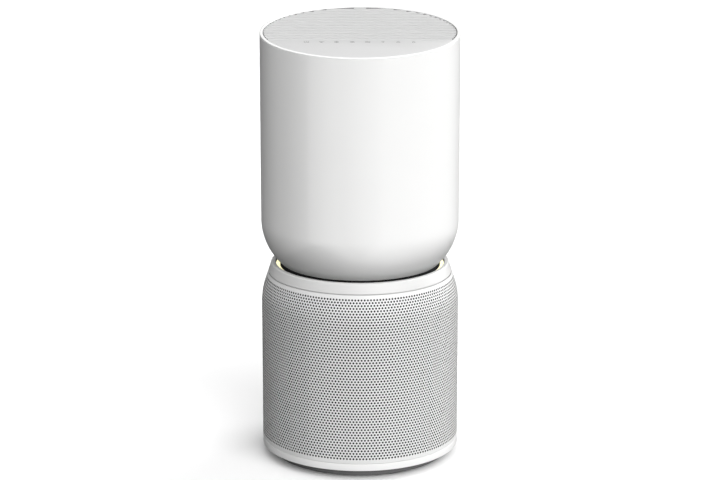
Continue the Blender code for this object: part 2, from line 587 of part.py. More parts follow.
def build_rear():
    """Mains socket, power board and air sensor between the duct and the back of the shell."""
    half_x, half_z = INLET_SIZE[0] / 2, INLET_SIZE[1] / 2
    face = math.sqrt(BODY_RADIUS ** 2 - half_x ** 2) - 0.5 * MM
    room_low = DUCT_OUTER + 3 * MM
    inlet = box("power_inlet", (-half_x, room_low + 2 * MM, INLET_Z - half_z),
                (half_x, face, INLET_Z + half_z), PART_BLACK)
    recess_depth = 9 * MM
    pin_x = 4.3 * MM
    recess = bmesh.new()
    outline = [(side * pin_x + 4.4 * MM * math.cos(a), 4.4 * MM * math.sin(a)) for side, a in
               [(1, math.pi * (index / 6 - 0.5)) for index in range(7)]
               + [(-1, math.pi * (index / 6 + 0.5)) for index in range(7)]]
    extrude_outline(recess, outline, 0, recess_depth + 5 * MM)
    bmesh.ops.rotate(recess, cent=(0, 0, 0), matrix=Matrix.Rotation(-math.pi / 2, 3, "X"), verts=recess.verts)
    bmesh.ops.translate(recess, vec=(0, face - recess_depth, INLET_Z), verts=recess.verts)
    combine(inlet, "DIFFERENCE", add("inlet_recess", recess, PART_BLACK))
    for name, side in (("inlet_pin_left", -1), ("inlet_pin_right", 1)):
        rod(name, (side * pin_x, face - recess_depth + GAP, INLET_Z),
            (side * pin_x, face - 1.5 * MM, INLET_Z), 1.2 * MM, STEEL, 8)

    board_low = INLET_Z + half_z + 9 * MM
    board_high = SENSOR_Z - SENSOR_SIZE[1] / 2 - 6 * MM
    board_half = 0.2 * BODY_RADIUS
    bracket_face = room_low + 3 * MM
    board_face = bracket_face + GAP + BOARD
    part_low = board_face + GAP
    box("power_bracket", (-board_half - 2 * MM, room_low, board_low - 3 * MM),
        (board_half + 2 * MM, bracket_face, board_high + 3 * MM), INNER)
    box("power_board", (-board_half, bracket_face + GAP, board_low), (board_half, board_face, board_high),
        BOARD_GREEN)
    part_room = SHELL_INNER - 6 * MM - part_low
    box("power_transformer", (-0.8 * board_half, part_low, board_low + 6 * MM),
        (0, part_low + 0.85 * part_room, board_low + 24 * MM), COPPER)
    cap_radius = 0.4 * part_room
    rod("power_capacitor", (0.5 * board_half, part_low + cap_radius + GAP, board_low + 6 * MM),
        (0.5 * board_half, part_low + cap_radius + GAP, board_low + 26 * MM), cap_radius, PART_BLACK)

    sensor_half_x, sensor_half_z = SENSOR_SIZE[0] / 2, SENSOR_SIZE[1] / 2
    sensor_back = SHELL_INNER - 3.5 * MM
    box("dust_sensor", (-sensor_half_x, room_low, SENSOR_Z - sensor_half_z),
        (sensor_half_x, sensor_back, SENSOR_Z + sensor_half_z), STEEL)
    vent_half_x, vent_half_z = VENT_SIZE[0] / 2, VENT_SIZE[1] / 2
    vent_face = math.sqrt(BODY_RADIUS ** 2 - vent_half_x ** 2) - 0.3 * MM
    vent = box("sensor_vent", (-vent_half_x, sensor_back + GAP, SENSOR_Z - vent_half_z),
               (vent_half_x, vent_face, SENSOR_Z + vent_half_z), WHITE)
    slots = bmesh.new()
    for row in (-1, 0, 1):
        middle = SENSOR_Z + row * 5 * MM
        extrude_outline(slots, box_outline(-vent_half_x + 3 * MM, sensor_back - 2 * MM,
                                           vent_half_x - 3 * MM, vent_face + 2 * MM),
                        middle - 1 * MM, middle + 1 * MM)
    combine(vent, "DIFFERENCE", add("vent_slots", slots, WHITE))
    return board_low, board_high, bracket_face, board_half


def build_base():
    """Neck, light ring, collar, intake cover, cage and bottom ring."""
    neck_high = HEAD_LOW - GAP
    neck_low = CAGE_HIGH + GAP
    neck_inner = NECK_RADIUS - NECK_WALL
    step_high = BASE_TOP - 5 * MM - GAP
    neck = turned("neck_ring", [
        (NECK_RADIUS, neck_high), (NECK_RADIUS, neck_low), (neck_inner - 6 * MM, neck_low),
        (neck_inner - 6 * MM, step_high), (neck_inner, step_high), (neck_inner, neck_high)], NECK)
    thread_high = neck_low + 7 * MM
    combine(neck, "DIFFERENCE", screw_holes("neck_holes", neck_screw_places(), neck_low - 1 * MM,
                                            thread_high, NECK))
    screw_seat = CAGE_HIGH - CAGE_PLATE - GAP
    for number, (x, y) in enumerate(neck_screw_places(), 1):
        screw(f"neck_screw_{number}", x, y, screw_seat, thread_high - GAP - screw_seat, 1.4 * MM, 2.6 * MM)
    lip_inner = NECK_RADIUS + GROOVE_WIDTH
    light_inner = NECK_RADIUS + GAP
    light_outer = lip_inner - GAP
    light_high = BASE_TOP - LIGHT_DEPTH
    ring("light_board", light_inner, light_outer, neck_low, neck_low + BOARD, BOARD_GREEN)
    ring("light_ring", light_inner, light_outer, neck_low + BOARD + 2 * MM, light_high, GLOW)

    cover_high = BASE_TOP - COLLAR_HEIGHT
    collar_low = cover_high + GAP
    collar_foot = shoulder_radius(cover_high, SHEET) - 1 * MM
    turned("base_collar", [
        (lip_inner, BASE_TOP), (lip_inner, neck_low), (collar_foot, neck_low), (collar_foot, collar_low),
        (shoulder_radius(collar_low), collar_low), (shoulder_radius(BASE_TOP - 2 * MM), BASE_TOP - 2 * MM),
        (lip_inner + LIP_WIDTH, BASE_TOP - 0.5 * MM), (lip_inner + LIP_WIDTH - 0.8 * MM, BASE_TOP)], WHITE)

    heights = [RING_HIGH + GAP, BASE_TOP - SHOULDER_START]
    heights += [BASE_TOP - SHOULDER_START + step * MM for step in (9, 17, 25)] + [cover_high]
    outside = [(shoulder_radius(height), height) for height in heights]
    inside = [(shoulder_radius(height, SHEET), height) for height in reversed(heights)]
    turned("intake_cover", outside + inside, MESH)

    cage_outer = FILTER_RADIUS + FILTER_GROW - 1 * MM
    post_inner = FILTER_RADIUS + 4 * MM
    opening = BORE_RADIUS + 4 * MM
    cage = ring("filter_cage", opening, collar_foot - 2 * MM, CAGE_HIGH - CAGE_PLATE, CAGE_HIGH, INNER)
    posts = bmesh.new()
    foot_high = CAGE_LOW + 4 * MM
    for angle in around(CAGE_POSTS, math.pi / 6):
        outline = sector_outline(post_inner, post_inner + 3 * MM, angle - 0.07, angle + 0.07, 2)
        extrude_outline(posts, outline, foot_high - 1 * MM, CAGE_HIGH - 1 * MM)
    cage_foot = ring("cage_foot", post_inner, cage_outer, CAGE_LOW, foot_high, INNER)
    combine(cage, "UNION", add("cage_posts", posts, INNER))
    combine(cage, "UNION", cage_foot)
    combine(cage, "DIFFERENCE", screw_holes("cage_holes", neck_screw_places(), screw_seat - 1 * MM,
                                            CAGE_HIGH + 1 * MM, INNER))

    ring_inner = FOOT_RADIUS + RING_ROOM
    turned("bottom_ring", [
        (BODY_RADIUS, RING_HIGH), (BODY_RADIUS, RING_LOW + 2.5 * MM),
        (BODY_RADIUS - 0.8 * MM, RING_LOW + 0.7 * MM), (BODY_RADIUS - 2.5 * MM, RING_LOW),
        (ring_inner, RING_LOW), (ring_inner, RING_HIGH)], WHITE)
    ledge_inner = FOOT_RADIUS + 1 * MM - LEDGE_WIDTH
    ledge_outer = ring_inner * math.cos(math.pi / WIDE_STEPS) - GAP
    slot_half = LUG_ANGLE / 2 + LUG_SIDE_ROOM
    spacing = math.tau / LUG_COUNT
    stop_turns = (LUG_ANGLE / 2 + STOP_ROOM, spacing - LUG_ANGLE / 2 - LOCK_TURN - STOP_ROOM - STOP_ANGLE)
    for number, angle in enumerate(around(LUG_COUNT), 1):
        outline = sector_outline(ledge_inner, ledge_outer, angle + slot_half, angle + spacing - slot_half, 10)
        ledge = slab(f"lock_ledge_{number}", outline, LEDGE_LOW, LEDGE_HIGH, INNER)
        stops = bmesh.new()
        for turn in stop_turns:
            outline = sector_outline(ledge_inner + 0.3 * MM, ledge_outer - 0.3 * MM,
                                     angle + turn, angle + turn + STOP_ANGLE, 1)
            extrude_outline(stops, outline, LEDGE_LOW + 0.5 * MM, LUG_HIGH)
        combine(ledge, "UNION", add(f"ledge_stops_{number}", stops, INNER))


def build_filter():
    """The cartridge: pleated media with end caps, a carbon layer, a mesh sleeve, gasket and pull tab."""
    media_low = FILTER_LOW + CAP_THICKNESS + GAP
    media_high = FILTER_HIGH - CAP_THICKNESS - GAP
    sleeve_depth = 1 * MM
    media_outer = FILTER_RADIUS - sleeve_depth - 2 * GAP - 1 * MM
    carbon_outer = BORE_RADIUS + CARBON_DEPTH
    ring("filter_media", carbon_outer + GAP, media_outer, media_low, media_high, MEDIA)
    ring("carbon_core", BORE_RADIUS, carbon_outer, media_low, media_high, CARBON)
    sleeve_inner = media_outer + GAP
    ring("prefilter_sleeve", sleeve_inner, sleeve_inner + sleeve_depth, media_low, media_high, SLEEVE)
    ring("filter_top_cap", BORE_RADIUS, FILTER_RADIUS, FILTER_HIGH - CAP_THICKNESS, FILTER_HIGH, INNER)
    ring("filter_gasket", BORE_RADIUS + 5 * MM, BORE_RADIUS + 17 * MM, FILTER_HIGH + GAP,
         FILTER_HIGH + GAP + GASKET_THICKNESS, FOAM)
    turned("filter_bottom_cap", [
        (FILTER_RADIUS, FILTER_LOW + CAP_THICKNESS), (FILTER_RADIUS, FILTER_LOW),
        (FILTER_RADIUS - 12 * MM, FILTER_LOW), (FILTER_RADIUS - 12 * MM, FILTER_LOW + 1.5 * MM),
        (0, FILTER_LOW + 1.5 * MM), (0, FILTER_LOW + CAP_THICKNESS)], INNER)
    box("filter_pull_tab", (-14 * MM, -9 * MM, FILTER_LOW - GAP + 0.1 * MM),
        (14 * MM, 9 * MM, FILTER_LOW + 1.5 * MM - GAP), TAB)


def build_foot():
    """The turning base cover with its lugs and pads, and the swivel seat on which the filter stands."""
    rim_outer = FOOT_RADIUS - LEDGE_WIDTH - 0.6 * MM
    rim_inner = rim_outer - 3 * MM
    foot_high = RING_LOW - GAP
    cover = turned("base_cover", [
        (FOOT_RADIUS, foot_high), (FOOT_RADIUS, PAD_THICKNESS + 1.2 * MM),
        (FOOT_RADIUS - 1.2 * MM, PAD_THICKNESS), (FOOT_RADIUS - 8 * MM, PAD_THICKNESS),
        (FOOT_RADIUS - 24 * MM, PAD_THICKNESS), (FOOT_RADIUS - 26 * MM, PAD_THICKNESS + 4 * MM),
        (0, PAD_THICKNESS + 4 * MM), (0, COVER_TOP), (rim_inner, COVER_TOP), (rim_inner, LUG_HIGH),
        (rim_outer, LUG_HIGH), (rim_outer, foot_high)], FOOT)
    lugs = bmesh.new()
    for angle in around(LUG_COUNT):
        outline = sector_outline(rim_outer - 2 * MM, FOOT_RADIUS - 0.2 * MM,
                                 angle - LUG_ANGLE / 2, angle + LUG_ANGLE / 2, 3)
        extrude_outline(lugs, outline, LUG_LOW, LUG_HIGH - 0.1 * MM)
    combine(cover, "UNION", add("cover_lugs", lugs, FOOT))
    ring("filter_seat", 0, rim_inner - 1 * MM, COVER_TOP + GAP, SEAT_HIGH, INNER)
    pad_radius = FOOT_RADIUS - 12 * MM
    for number, angle in enumerate(around(4, math.pi / 4), 1):
        x, y, _ = polar(pad_radius, angle, 0)
        rod(f"rubber_pad_{number}", (x, y, 0), (x, y, PAD_THICKNESS - GAP), 8 * MM, PAD)


def smooth_route(points, spacing):
    """Evenly read points on a smooth curve through a lead's own points."""
    points = [Vector(point) for point in points]
    ends = [points[0] * 2 - points[1]] + points + [points[-1] * 2 - points[-2]]
    route = []
    for index in range(1, len(ends) - 2):
        before, start, end, after = ends[index - 1:index + 3]
        count = max(2, round((end - start).length / spacing))
        for step in range(count):
            t = step / count
            route.append(0.5 * (2 * start + (end - before) * t
                                + (2 * before - 5 * start + 4 * end - after) * t ** 2
                                + (3 * start - before - 3 * end + after) * t ** 3))
    return route + [points[-1]]


def lead(name, points, radius):
    """A round lead along a smooth route."""
    route = smooth_route(points, 6 * radius)
    curve = bpy.data.curves.new(name, "CURVE")
    curve.dimensions = "3D"
    curve.bevel_depth = radius
    curve.bevel_resolution = 2
    curve.use_fill_caps = True
    spline = curve.splines.new("POLY")
    spline.points.add(len(route) - 1)
    for point, place in zip(spline.points, route):
        point.co = (*place, 1.0)
    curve.materials.append(LEAD)
    bpy.context.collection.objects.link(bpy.data.objects.new(name, curve))


def build_leads(board_low, board_high, bracket_face, board_half):
    """Leads held between the duct and the shell: panel to power board, and socket to power board."""
    radius = LEAD_RADIUS
    lead_radius = SHELL_INNER - 2 * radius
    level = FLARE_LOW + 0.55 * FLARE_HEIGHT
    side_x = board_half + 2 * MM + 3 * radius
    end_y = bracket_face + 2 * radius
    top_x, top_y, _ = polar(lead_radius, LEAD_ANGLE, 0)
    start_z = DECK_HIGH + GAP + BOARD + radius + 1 * MM + top_y * TILT_SLOPE
    start = (top_x + 20 * MM, top_y - 8 * MM, start_z)
    points = [start, (top_x + 6 * MM, top_y - 2 * MM, start_z + 0.3 * MM), (top_x, top_y, start_z - 9 * MM)]
    points.append(polar(lead_radius, LEAD_ANGLE - 0.03, DECK_LOW - 16 * MM + top_y * TILT_SLOPE))
    points += [polar(lead_radius, math.radians(degrees), level - drop * MM)
               for degrees, drop in ((185, 8), (165, 16), (145, 26), (125, 38))]
    points.append((-side_x - 6 * MM, end_y + 1 * MM, board_high - 2 * MM))
    points.append((-side_x, end_y, board_high - 16 * MM))
    lead("panel_lead", points, radius)
    inlet_x = INLET_SIZE[0] / 2 + 3 * radius
    lead("inlet_lead", [
        (inlet_x, end_y + 1 * MM, INLET_Z - 2 * MM), (inlet_x + 6 * MM, end_y, INLET_Z + 8 * MM),
        (side_x + 1 * MM, end_y, board_low), (side_x, end_y, board_low + 14 * MM)], radius)


build_head_shell()
build_top()
build_duct()
build_motor()
build_intake()
rear_room = build_rear()
build_base()
build_filter()
build_foot()
build_leads(*rear_room)
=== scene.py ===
import math

import bmesh
import bpy
from mathutils import Matrix, Vector


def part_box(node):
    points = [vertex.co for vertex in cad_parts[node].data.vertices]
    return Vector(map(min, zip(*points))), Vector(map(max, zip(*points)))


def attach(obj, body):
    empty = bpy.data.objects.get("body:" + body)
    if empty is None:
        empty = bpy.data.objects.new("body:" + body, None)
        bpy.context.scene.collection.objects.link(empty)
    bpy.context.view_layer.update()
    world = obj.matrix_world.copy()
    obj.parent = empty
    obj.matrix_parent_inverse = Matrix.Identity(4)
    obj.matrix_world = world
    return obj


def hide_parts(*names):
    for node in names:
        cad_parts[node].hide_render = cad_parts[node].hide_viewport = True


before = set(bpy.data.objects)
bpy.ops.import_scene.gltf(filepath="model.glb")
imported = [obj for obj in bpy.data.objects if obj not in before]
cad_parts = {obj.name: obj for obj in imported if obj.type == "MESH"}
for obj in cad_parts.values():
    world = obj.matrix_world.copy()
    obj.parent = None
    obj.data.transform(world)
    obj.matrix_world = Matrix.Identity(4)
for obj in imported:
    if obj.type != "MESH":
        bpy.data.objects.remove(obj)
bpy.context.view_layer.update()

scene = bpy.context.scene
mm = 0.001
topSlope = math.tan(math.radians(4.5))    # the top falls towards the front
bodyRadius = 123 * mm
patternHigh = 270 * mm                    # patterns are centred half way up
coverLow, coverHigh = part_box("intake_cover")[0].z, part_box("intake_cover")[1].z


# A node's output, wrapped so that sums of masks read as plain maths.
class Wire:
    def __init__(self, graph, socket):
        self.graph = graph
        self.socket = socket

    def combine(self, operation, first, second):
        return self.graph.add("ShaderNodeMath", {"operation": operation},
                              {"Value": first, "Value_001": second})

    def __add__(self, other):
        return self.combine("ADD", self, other)

    def __radd__(self, other):
        return self.combine("ADD", other, self)

    def __sub__(self, other):
        return self.combine("SUBTRACT", self, other)

    def __rsub__(self, other):
        return self.combine("SUBTRACT", other, self)

    def __mul__(self, other):
        return self.combine("MULTIPLY", self, other)

    def __rmul__(self, other):
        return self.combine("MULTIPLY", other, self)

    def __truediv__(self, other):
        return self.combine("DIVIDE", self, other)

    def __gt__(self, other):
        return self.combine("GREATER_THAN", self, other)


def portOf(ports, key):
    for port in ports:
        if port.identifier == key:
            return port
    return ports[key]


class Graph:
    def __init__(self, tree):
        self.tree = tree

    def add(self, kind, settings=None, sockets=None, out=None):
        node = self.tree.nodes.new(kind)
        for key, value in (settings or {}).items():
            setattr(node, key, value)
        for key, value in (sockets or {}).items():
            port = portOf(node.inputs, key)
            if isinstance(value, Wire):
                self.tree.links.new(value.socket, port)
            else:
                port.default_value = value
        return Wire(self, portOf(node.outputs, out) if out else next(iter(node.outputs), None))

    def root(self, first):
        return self.add("ShaderNodeMath", {"operation": "SQRT"}, {"Value": first})

    def sine(self, first):
        return self.add("ShaderNodeMath", {"operation": "SINE"}, {"Value": first})

    def split(self, vector, axis):
        return self.add("ShaderNodeSeparateXYZ", None, {"Vector": vector}, axis)

    def turnOf(self, place):
        return self.add("ShaderNodeMath", {"operation": "ARCTAN2"},
                        {"Value": self.split(place, "Y"), "Value_001": self.split(place, "X")})

    def noise(self, place, size, detail=2.0, rough=0.5):
        return self.add("ShaderNodeTexNoise", None,
                        {"Vector": place, "Scale": 1 / size, "Detail": detail, "Roughness": rough})

    def cells(self, place, size, feature="F1"):
        return self.add("ShaderNodeTexVoronoi", {"feature": feature}, {"Vector": place, "Scale": 1 / size})

    def blend(self, share, first, second):
        return self.add("ShaderNodeMix", {"data_type": "RGBA"},
                        {"Factor_Float": share, "A_Color": first, "B_Color": second}, "Result_Color")

    def bump(self, height, depth):
        return self.add("ShaderNodeBump", None, {"Height": height, "Distance": depth, "Strength": 1.0})

    def mask(self, value, low, high):
        return self.add("ShaderNodeMapRange", {"interpolation_type": "SMOOTHSTEP"},
                        {"Value": value, "From Min": low, "From Max": high})


def tone(colour, level=1.0):
    return (*[min(1.0, part * level) for part in colour], 1.0)


# A Principled material: paint gives what varies, constants what is the same all over.
def finish(name, paint, constants=None):
    material = bpy.data.materials.new(name)
    material.use_nodes = True
    material.node_tree.nodes.clear()
    graph = Graph(material.node_tree)
    place = graph.add("ShaderNodeMapping", None, {
        "Vector": graph.add("ShaderNodeTexCoord", out="Object"), "Location": (0, 0, -patternHigh)})
    shader = graph.add("ShaderNodeBsdfPrincipled", None, {**(constants or {}), **paint(graph, place)})
    graph.add("ShaderNodeOutputMaterial", None, {"Surface": shader})
    return material


mouldings = {
    "shellWhite": {"colour": (0.80, 0.80, 0.795), "rough": 0.38, "grain": 0.35 * mm, "depth": 0.010 * mm,
                   "mottle": 0.010, "coat": 0.10},
    # Painted shade: the collar's white is the head's plastic set darker, to carry the shading seen on it.
    "collarWhite": {"colour": (0.63, 0.63, 0.625), "rough": 0.42, "grain": 0.35 * mm, "depth": 0.010 * mm,
                    "mottle": 0.010, "coat": 0.05},
    "rimWhite": {"colour": (0.90, 0.90, 0.895), "rough": 0.22, "grain": 0.5 * mm, "depth": 0.004 * mm,
                 "mottle": 0.006, "coat": 0.45},
    # Painted shade: the panel's white is the same plastic set much darker, to carry the dimmer light on the
    # top.
    "panelWhite": {"colour": (0.55, 0.55, 0.55), "rough": 0.45, "grain": 0.3 * mm, "depth": 0.006 * mm,
                   "mottle": 0.010, "coat": 0.0, "shine": 0.2},
    # Painted shade: the slats' white is the same plastic set darker still, for the dimmer light on the top and
    # the shade between the slats.
    "grilleWhite": {"colour": (0.53, 0.53, 0.53), "rough": 0.55, "grain": 0.4 * mm, "depth": 0.012 * mm,
                    "mottle": 0.015, "coat": 0.0, "shine": 0.15},
    # Painted shade: the grille frame is near black, so the slot ends at the rim show the dark of shade down
    # the slots.
    "frameGrey": {"colour": (0.035, 0.035, 0.036), "rough": 0.55, "grain": 0.5 * mm, "depth": 0.02 * mm,
                  "mottle": 0.06, "coat": 0.0},
    "neckBlack": {"colour": (0.007, 0.007, 0.0075), "rough": 0.55, "grain": 0.4 * mm, "depth": 0.02 * mm,
                  "mottle": 0.25, "coat": 0.0, "shine": 0.2},
    "footGrey": {"colour": (0.165, 0.165, 0.167), "rough": 0.55, "grain": 0.5 * mm, "depth": 0.03 * mm,
                 "mottle": 0.08, "coat": 0.0},
    "innerGrey": {"colour": (0.25, 0.255, 0.26), "rough": 0.52, "grain": 0.5 * mm, "depth": 0.02 * mm,
                  "mottle": 0.06, "coat": 0.0},
    "partBlack": {"colour": (0.022, 0.022, 0.023), "rough": 0.42, "grain": 0.3 * mm, "depth": 0.02 * mm,
                  "mottle": 0.20, "coat": 0.0},
    "leadSleeve": {"colour": (0.03, 0.03, 0.032), "rough": 0.58, "grain": 0.3 * mm, "depth": 0.02 * mm,
                   "mottle": 0.20, "coat": 0.0},
    "diodeCream": {"colour": (0.80, 0.74, 0.46), "rough": 0.30, "grain": 0.3 * mm, "depth": 0.004 * mm,
                   "mottle": 0.03, "coat": 0.4},
    "iconGrey": {"colour": (0.10, 0.103, 0.106), "rough": 0.40, "grain": 0.2 * mm, "depth": 0.002 * mm,
                 "mottle": 0.03, "coat": 0.0},
}


# Moulded plastic: a spark-eroded grain in the surface, faint flow marks and an uneven gloss.
def moulded(name, look):
    def paint(graph, place):
        fine = graph.noise(place, look["grain"], 2.0, 0.6)
        cloud = graph.noise(place, 45 * mm, 3.0)
        smear = graph.noise(place, 9 * mm, 2.0)
        dull = tone(look["colour"], 1 - look["mottle"])
        bright = tone(look["colour"], 1 + look["mottle"])
        return {"Base Color": graph.blend(cloud, dull, bright),
                "Roughness": look["rough"] + (smear - 0.5) * 0.10 + (fine - 0.5) * 0.06,
                "Normal": graph.bump(fine, look["depth"])}
    return finish(name, paint, {"Coat Weight": look["coat"], "Coat Roughness": 0.18, "IOR": 1.46,
                                "Specular IOR Level": look.get("shine", 0.5)})


finishes = {name: moulded(name, look) for name, look in mouldings.items()}


# Powder coat over the perforated sheet: an orange-peel skin, a little darker towards the floor and in faint
# clouds.
def paintCover(graph, place):
    peel = graph.noise(place, 0.9 * mm, 1.0)
    high = graph.split(place, "Z")
    dust = graph.mask(high, -0.20, -0.26) * 0.5 + graph.noise(place, 20 * mm, 3.0) * 0.5
    # Painted shade: both whites are set darker than the head's white, to carry the shading on the cover.
    return {"Base Color": graph.blend(dust, tone((0.72, 0.72, 0.72)), tone((0.69, 0.69, 0.685))),
            "Roughness": 0.46 + (peel - 0.5) * 0.10,
            "Normal": graph.bump(peel, 0.012 * mm)}


# Painted shade: a black that stands in for the shade inside the cover's holes, with a faint cloth-like noise.
def paintScrim(graph, place):
    cloth = graph.noise(place, 1.5 * mm, 1.0)
    return {"Base Color": graph.blend(cloth, tone((0.010, 0.010, 0.011)), tone((0.022, 0.022, 0.024))),
            "Roughness": 0.85 + cloth * 0.1}


# Milky diffuser lit from below by a ring of diodes, brightest over each of them.
def paintDiffuser(graph, place):
    beat = graph.sine(graph.turnOf(place) * 36.0) * 0.5 + 0.5
    cloud = graph.noise(place, 4 * mm, 2.0)
    share = beat * 0.7 + cloud * 0.3
    return {"Base Color": graph.blend(share, tone((0.93, 0.86, 0.60)), tone((1.0, 0.95, 0.74))),
            "Emission Color": graph.blend(share, tone((0.98, 0.90, 0.48)), tone((1.0, 0.97, 0.62))),
            "Roughness": 0.45 + cloud * 0.1,
            "Normal": graph.bump(cloud, 0.02 * mm)}


def paintRubber(graph, place):
    pores = graph.noise(place, 0.35 * mm, 3.0, 0.7)
    scuff = graph.noise(place, 5 * mm, 3.0)
    return {"Base Color": graph.blend(scuff, tone((0.030, 0.030, 0.031)), tone((0.065, 0.064, 0.062))),
            "Roughness": 0.72 + scuff * 0.18,
            "Normal": graph.bump(pores, 0.05 * mm)}


# Pressed glass-fibre paper: tangled fibres, a soft grey where air has gone through.
def paintPaper(graph, place):
    fibre = graph.noise(place, 0.8 * mm, 5.0, 0.75)
    cloud = graph.noise(place, 30 * mm, 3.0)
    return {"Base Color": graph.blend(cloud, tone((0.80, 0.80, 0.775)), tone((0.90, 0.905, 0.89))),
            "Roughness": 0.85 + fibre * 0.12,
            "Normal": graph.bump(fibre, 0.08 * mm)}


# Carbon granules held in a net.
def paintCarbon(graph, place):
    grain = graph.cells(place, 1.6 * mm)
    tint = graph.noise(place, 1.1 * mm, 2.0)
    return {"Base Color": graph.blend(tint, tone((0.008, 0.008, 0.009)), tone((0.045, 0.045, 0.048))),
            "Roughness": 0.55 + tint * 0.35,
            "Normal": graph.bump(1 - grain, 0.6 * mm)}


# Woven net: two families of threads round and along the sleeve, open between them.
def paintNet(graph, place):
    along = graph.sine(graph.turnOf(place) * 300.0)
    up = graph.sine(graph.split(place, "Z") * (math.tau / (2.1 * mm)))
    thread = graph.add("ShaderNodeMath", {"operation": "MAXIMUM"}, {"Value": along, "Value_001": up})
    return {"Base Color": graph.blend(graph.noise(place, 3 * mm), tone((0.045, 0.047, 0.052)),
                                      tone((0.12, 0.125, 0.135))),
            "Alpha": graph.mask(thread, 0.15, 0.45),
            "Roughness": 0.75 + thread * 0.1,
            "Normal": graph.bump(thread, 0.15 * mm)}


def paintFoam(graph, place):
    pores = graph.cells(place, 0.8 * mm)
    cloud = graph.noise(place, 8 * mm, 2.0)
    return {"Base Color": graph.blend(cloud, tone((0.030, 0.030, 0.032)), tone((0.085, 0.085, 0.088))),
            "Roughness": 0.88 + cloud * 0.1,
            "Normal": graph.bump(pores, 0.35 * mm)}


# Grosgrain tape: ribs across, thinner threads along, colour paler on the ribs.
def paintTape(graph, place):
    ribs = graph.sine(graph.split(place, "X") * (math.tau / (1.1 * mm)))
    threads = graph.sine(graph.split(place, "Y") * (math.tau / (0.5 * mm)))
    weave = ribs * 0.35 + threads * 0.15 + 0.5
    return {"Base Color": graph.blend(weave, tone((0.055, 0.15, 0.27)), tone((0.15, 0.34, 0.52))),
            "Roughness": 0.80 + weave * 0.15,
            "Normal": graph.bump(weave, 0.20 * mm)}


# Bright zinc-plated steel with fine turning marks and dull patches.
def paintSteel(graph, place):
    marks = graph.noise(place, 0.25 * mm, 2.0)
    patch = graph.noise(place, 6 * mm, 4.0)
    return {"Base Color": graph.blend(patch, tone((0.50, 0.50, 0.51)), tone((0.68, 0.68, 0.69))),
            "Roughness": 0.24 + patch * 0.18 + marks * 0.06,
            "Normal": graph.bump(marks, 0.01 * mm)}


# Enamelled copper wire laid turn on turn; its colour darkens in the grooves between turns, which is painted
# shade.
def paintWinding(graph, place):
    turns = graph.sine(graph.turnOf(place) * 130.0) * 0.5 + 0.5
    patch = graph.noise(place, 4 * mm, 3.0)
    return {"Base Color": graph.blend(turns, tone((0.34, 0.11, 0.035)), tone((0.80, 0.38, 0.16))),
            "Roughness": 0.28 + patch * 0.2,
            "Normal": graph.bump(turns, 0.25 * mm)}


# Solder mask with copper tracks under it and pale printed marks.
def paintBoard(graph, place):
    tracks = graph.cells(place, 4 * mm, "DISTANCE_TO_EDGE")
    lines = 1 - graph.mask(tracks, 0.03, 0.08)
    pads = graph.mask(graph.noise(place, 2.2 * mm, 0.0), 0.66, 0.70)
    base = graph.blend(lines, tone((0.010, 0.10, 0.045)), tone((0.03, 0.22, 0.10)))
    return {"Base Color": graph.blend(pads, base, tone((0.62, 0.62, 0.58))),
            "Roughness": 0.34 + pads * 0.2,
            "Normal": graph.bump(lines, 0.05 * mm)}


finishes.update({
    "scrimBlack": finish("scrimBlack", paintScrim, {"Sheen Weight": 0.1}),
    "coverWhite": finish("coverWhite", paintCover, {"IOR": 1.46}),
    "lightDiffuser": finish("lightDiffuser", paintDiffuser, {"Emission Strength": 1.0, "IOR": 1.49}),
    "padRubber": finish("padRubber", paintRubber),
    "filterPaper": finish("filterPaper", paintPaper, {"Sheen Weight": 0.1}),
    "carbonGrain": finish("carbonGrain", paintCarbon),
    "sleeveNet": finish("sleeveNet", paintNet, {"Sheen Weight": 0.2}),
    "gasketFoam": finish("gasketFoam", paintFoam),
    "tabTape": finish("tabTape", paintTape, {"Sheen Weight": 0.3}),
    "zincSteel": finish("zincSteel", paintSteel, {"Metallic": 1.0}),
    "copperWinding": finish("copperWinding", paintWinding, {"Metallic": 0.85}),
    "boardGreen": finish("boardGreen", paintBoard, {"Coat Weight": 0.3}),
})

print("finishes ready:", len(finishes))


# Puts a finished mesh into the scene, on its body, standing for the CAD nodes it covers.
def place(name, bm, material, nodes, body="root", sharp=32):
    bmesh.ops.recalc_face_normals(bm, faces=bm.faces)
    mesh = bpy.data.meshes.new(name)
    bm.to_mesh(mesh)
    bm.free()
    mesh.materials.append(finishes[material])
    mesh.shade_smooth()
    mesh.set_sharp_from_angle(angle=math.radians(sharp))
    piece = bpy.data.objects.new(name, mesh)
    scene.collection.objects.link(piece)
    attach(piece, body)
    if nodes:
        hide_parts(*nodes)
    return piece


cornerPieces = 5                          # straight pieces in each rounded corner


# Rounds the corners of a closed outline: a corner with a third number gets that radius.
def rounded(corners):
    made = []
    for index, corner in enumerate(corners):
        here = Vector(corner[:2])
        if len(corner) < 3:
            made.append(here)
            continue
        back = (Vector(corners[index - 1][:2]) - here).normalized()
        ahead = (Vector(corners[(index + 1) % len(corners)][:2]) - here).normalized()
        half = back.angle(ahead) / 2
        centre = here + (back + ahead).normalized() * (corner[2] / math.sin(half))
        start = here + back * (corner[2] / math.tan(half)) - centre
        end = here + ahead * (corner[2] / math.tan(half)) - centre
        for step in range(cornerPieces + 1):
            made.append(centre + start.lerp(end, step / cornerPieces).normalized() * corner[2])
    return made


def arcPoints(centre, radius, start, end, count):
    angles = [math.radians(start + (end - start) * step / count) for step in range(count + 1)]
    return [(centre[0] + radius * math.cos(angle), centre[1] + radius * math.sin(angle)) for angle in angles]


def steps(count, first=0.0):
    return [first + math.tau * index / count for index in range(count)]


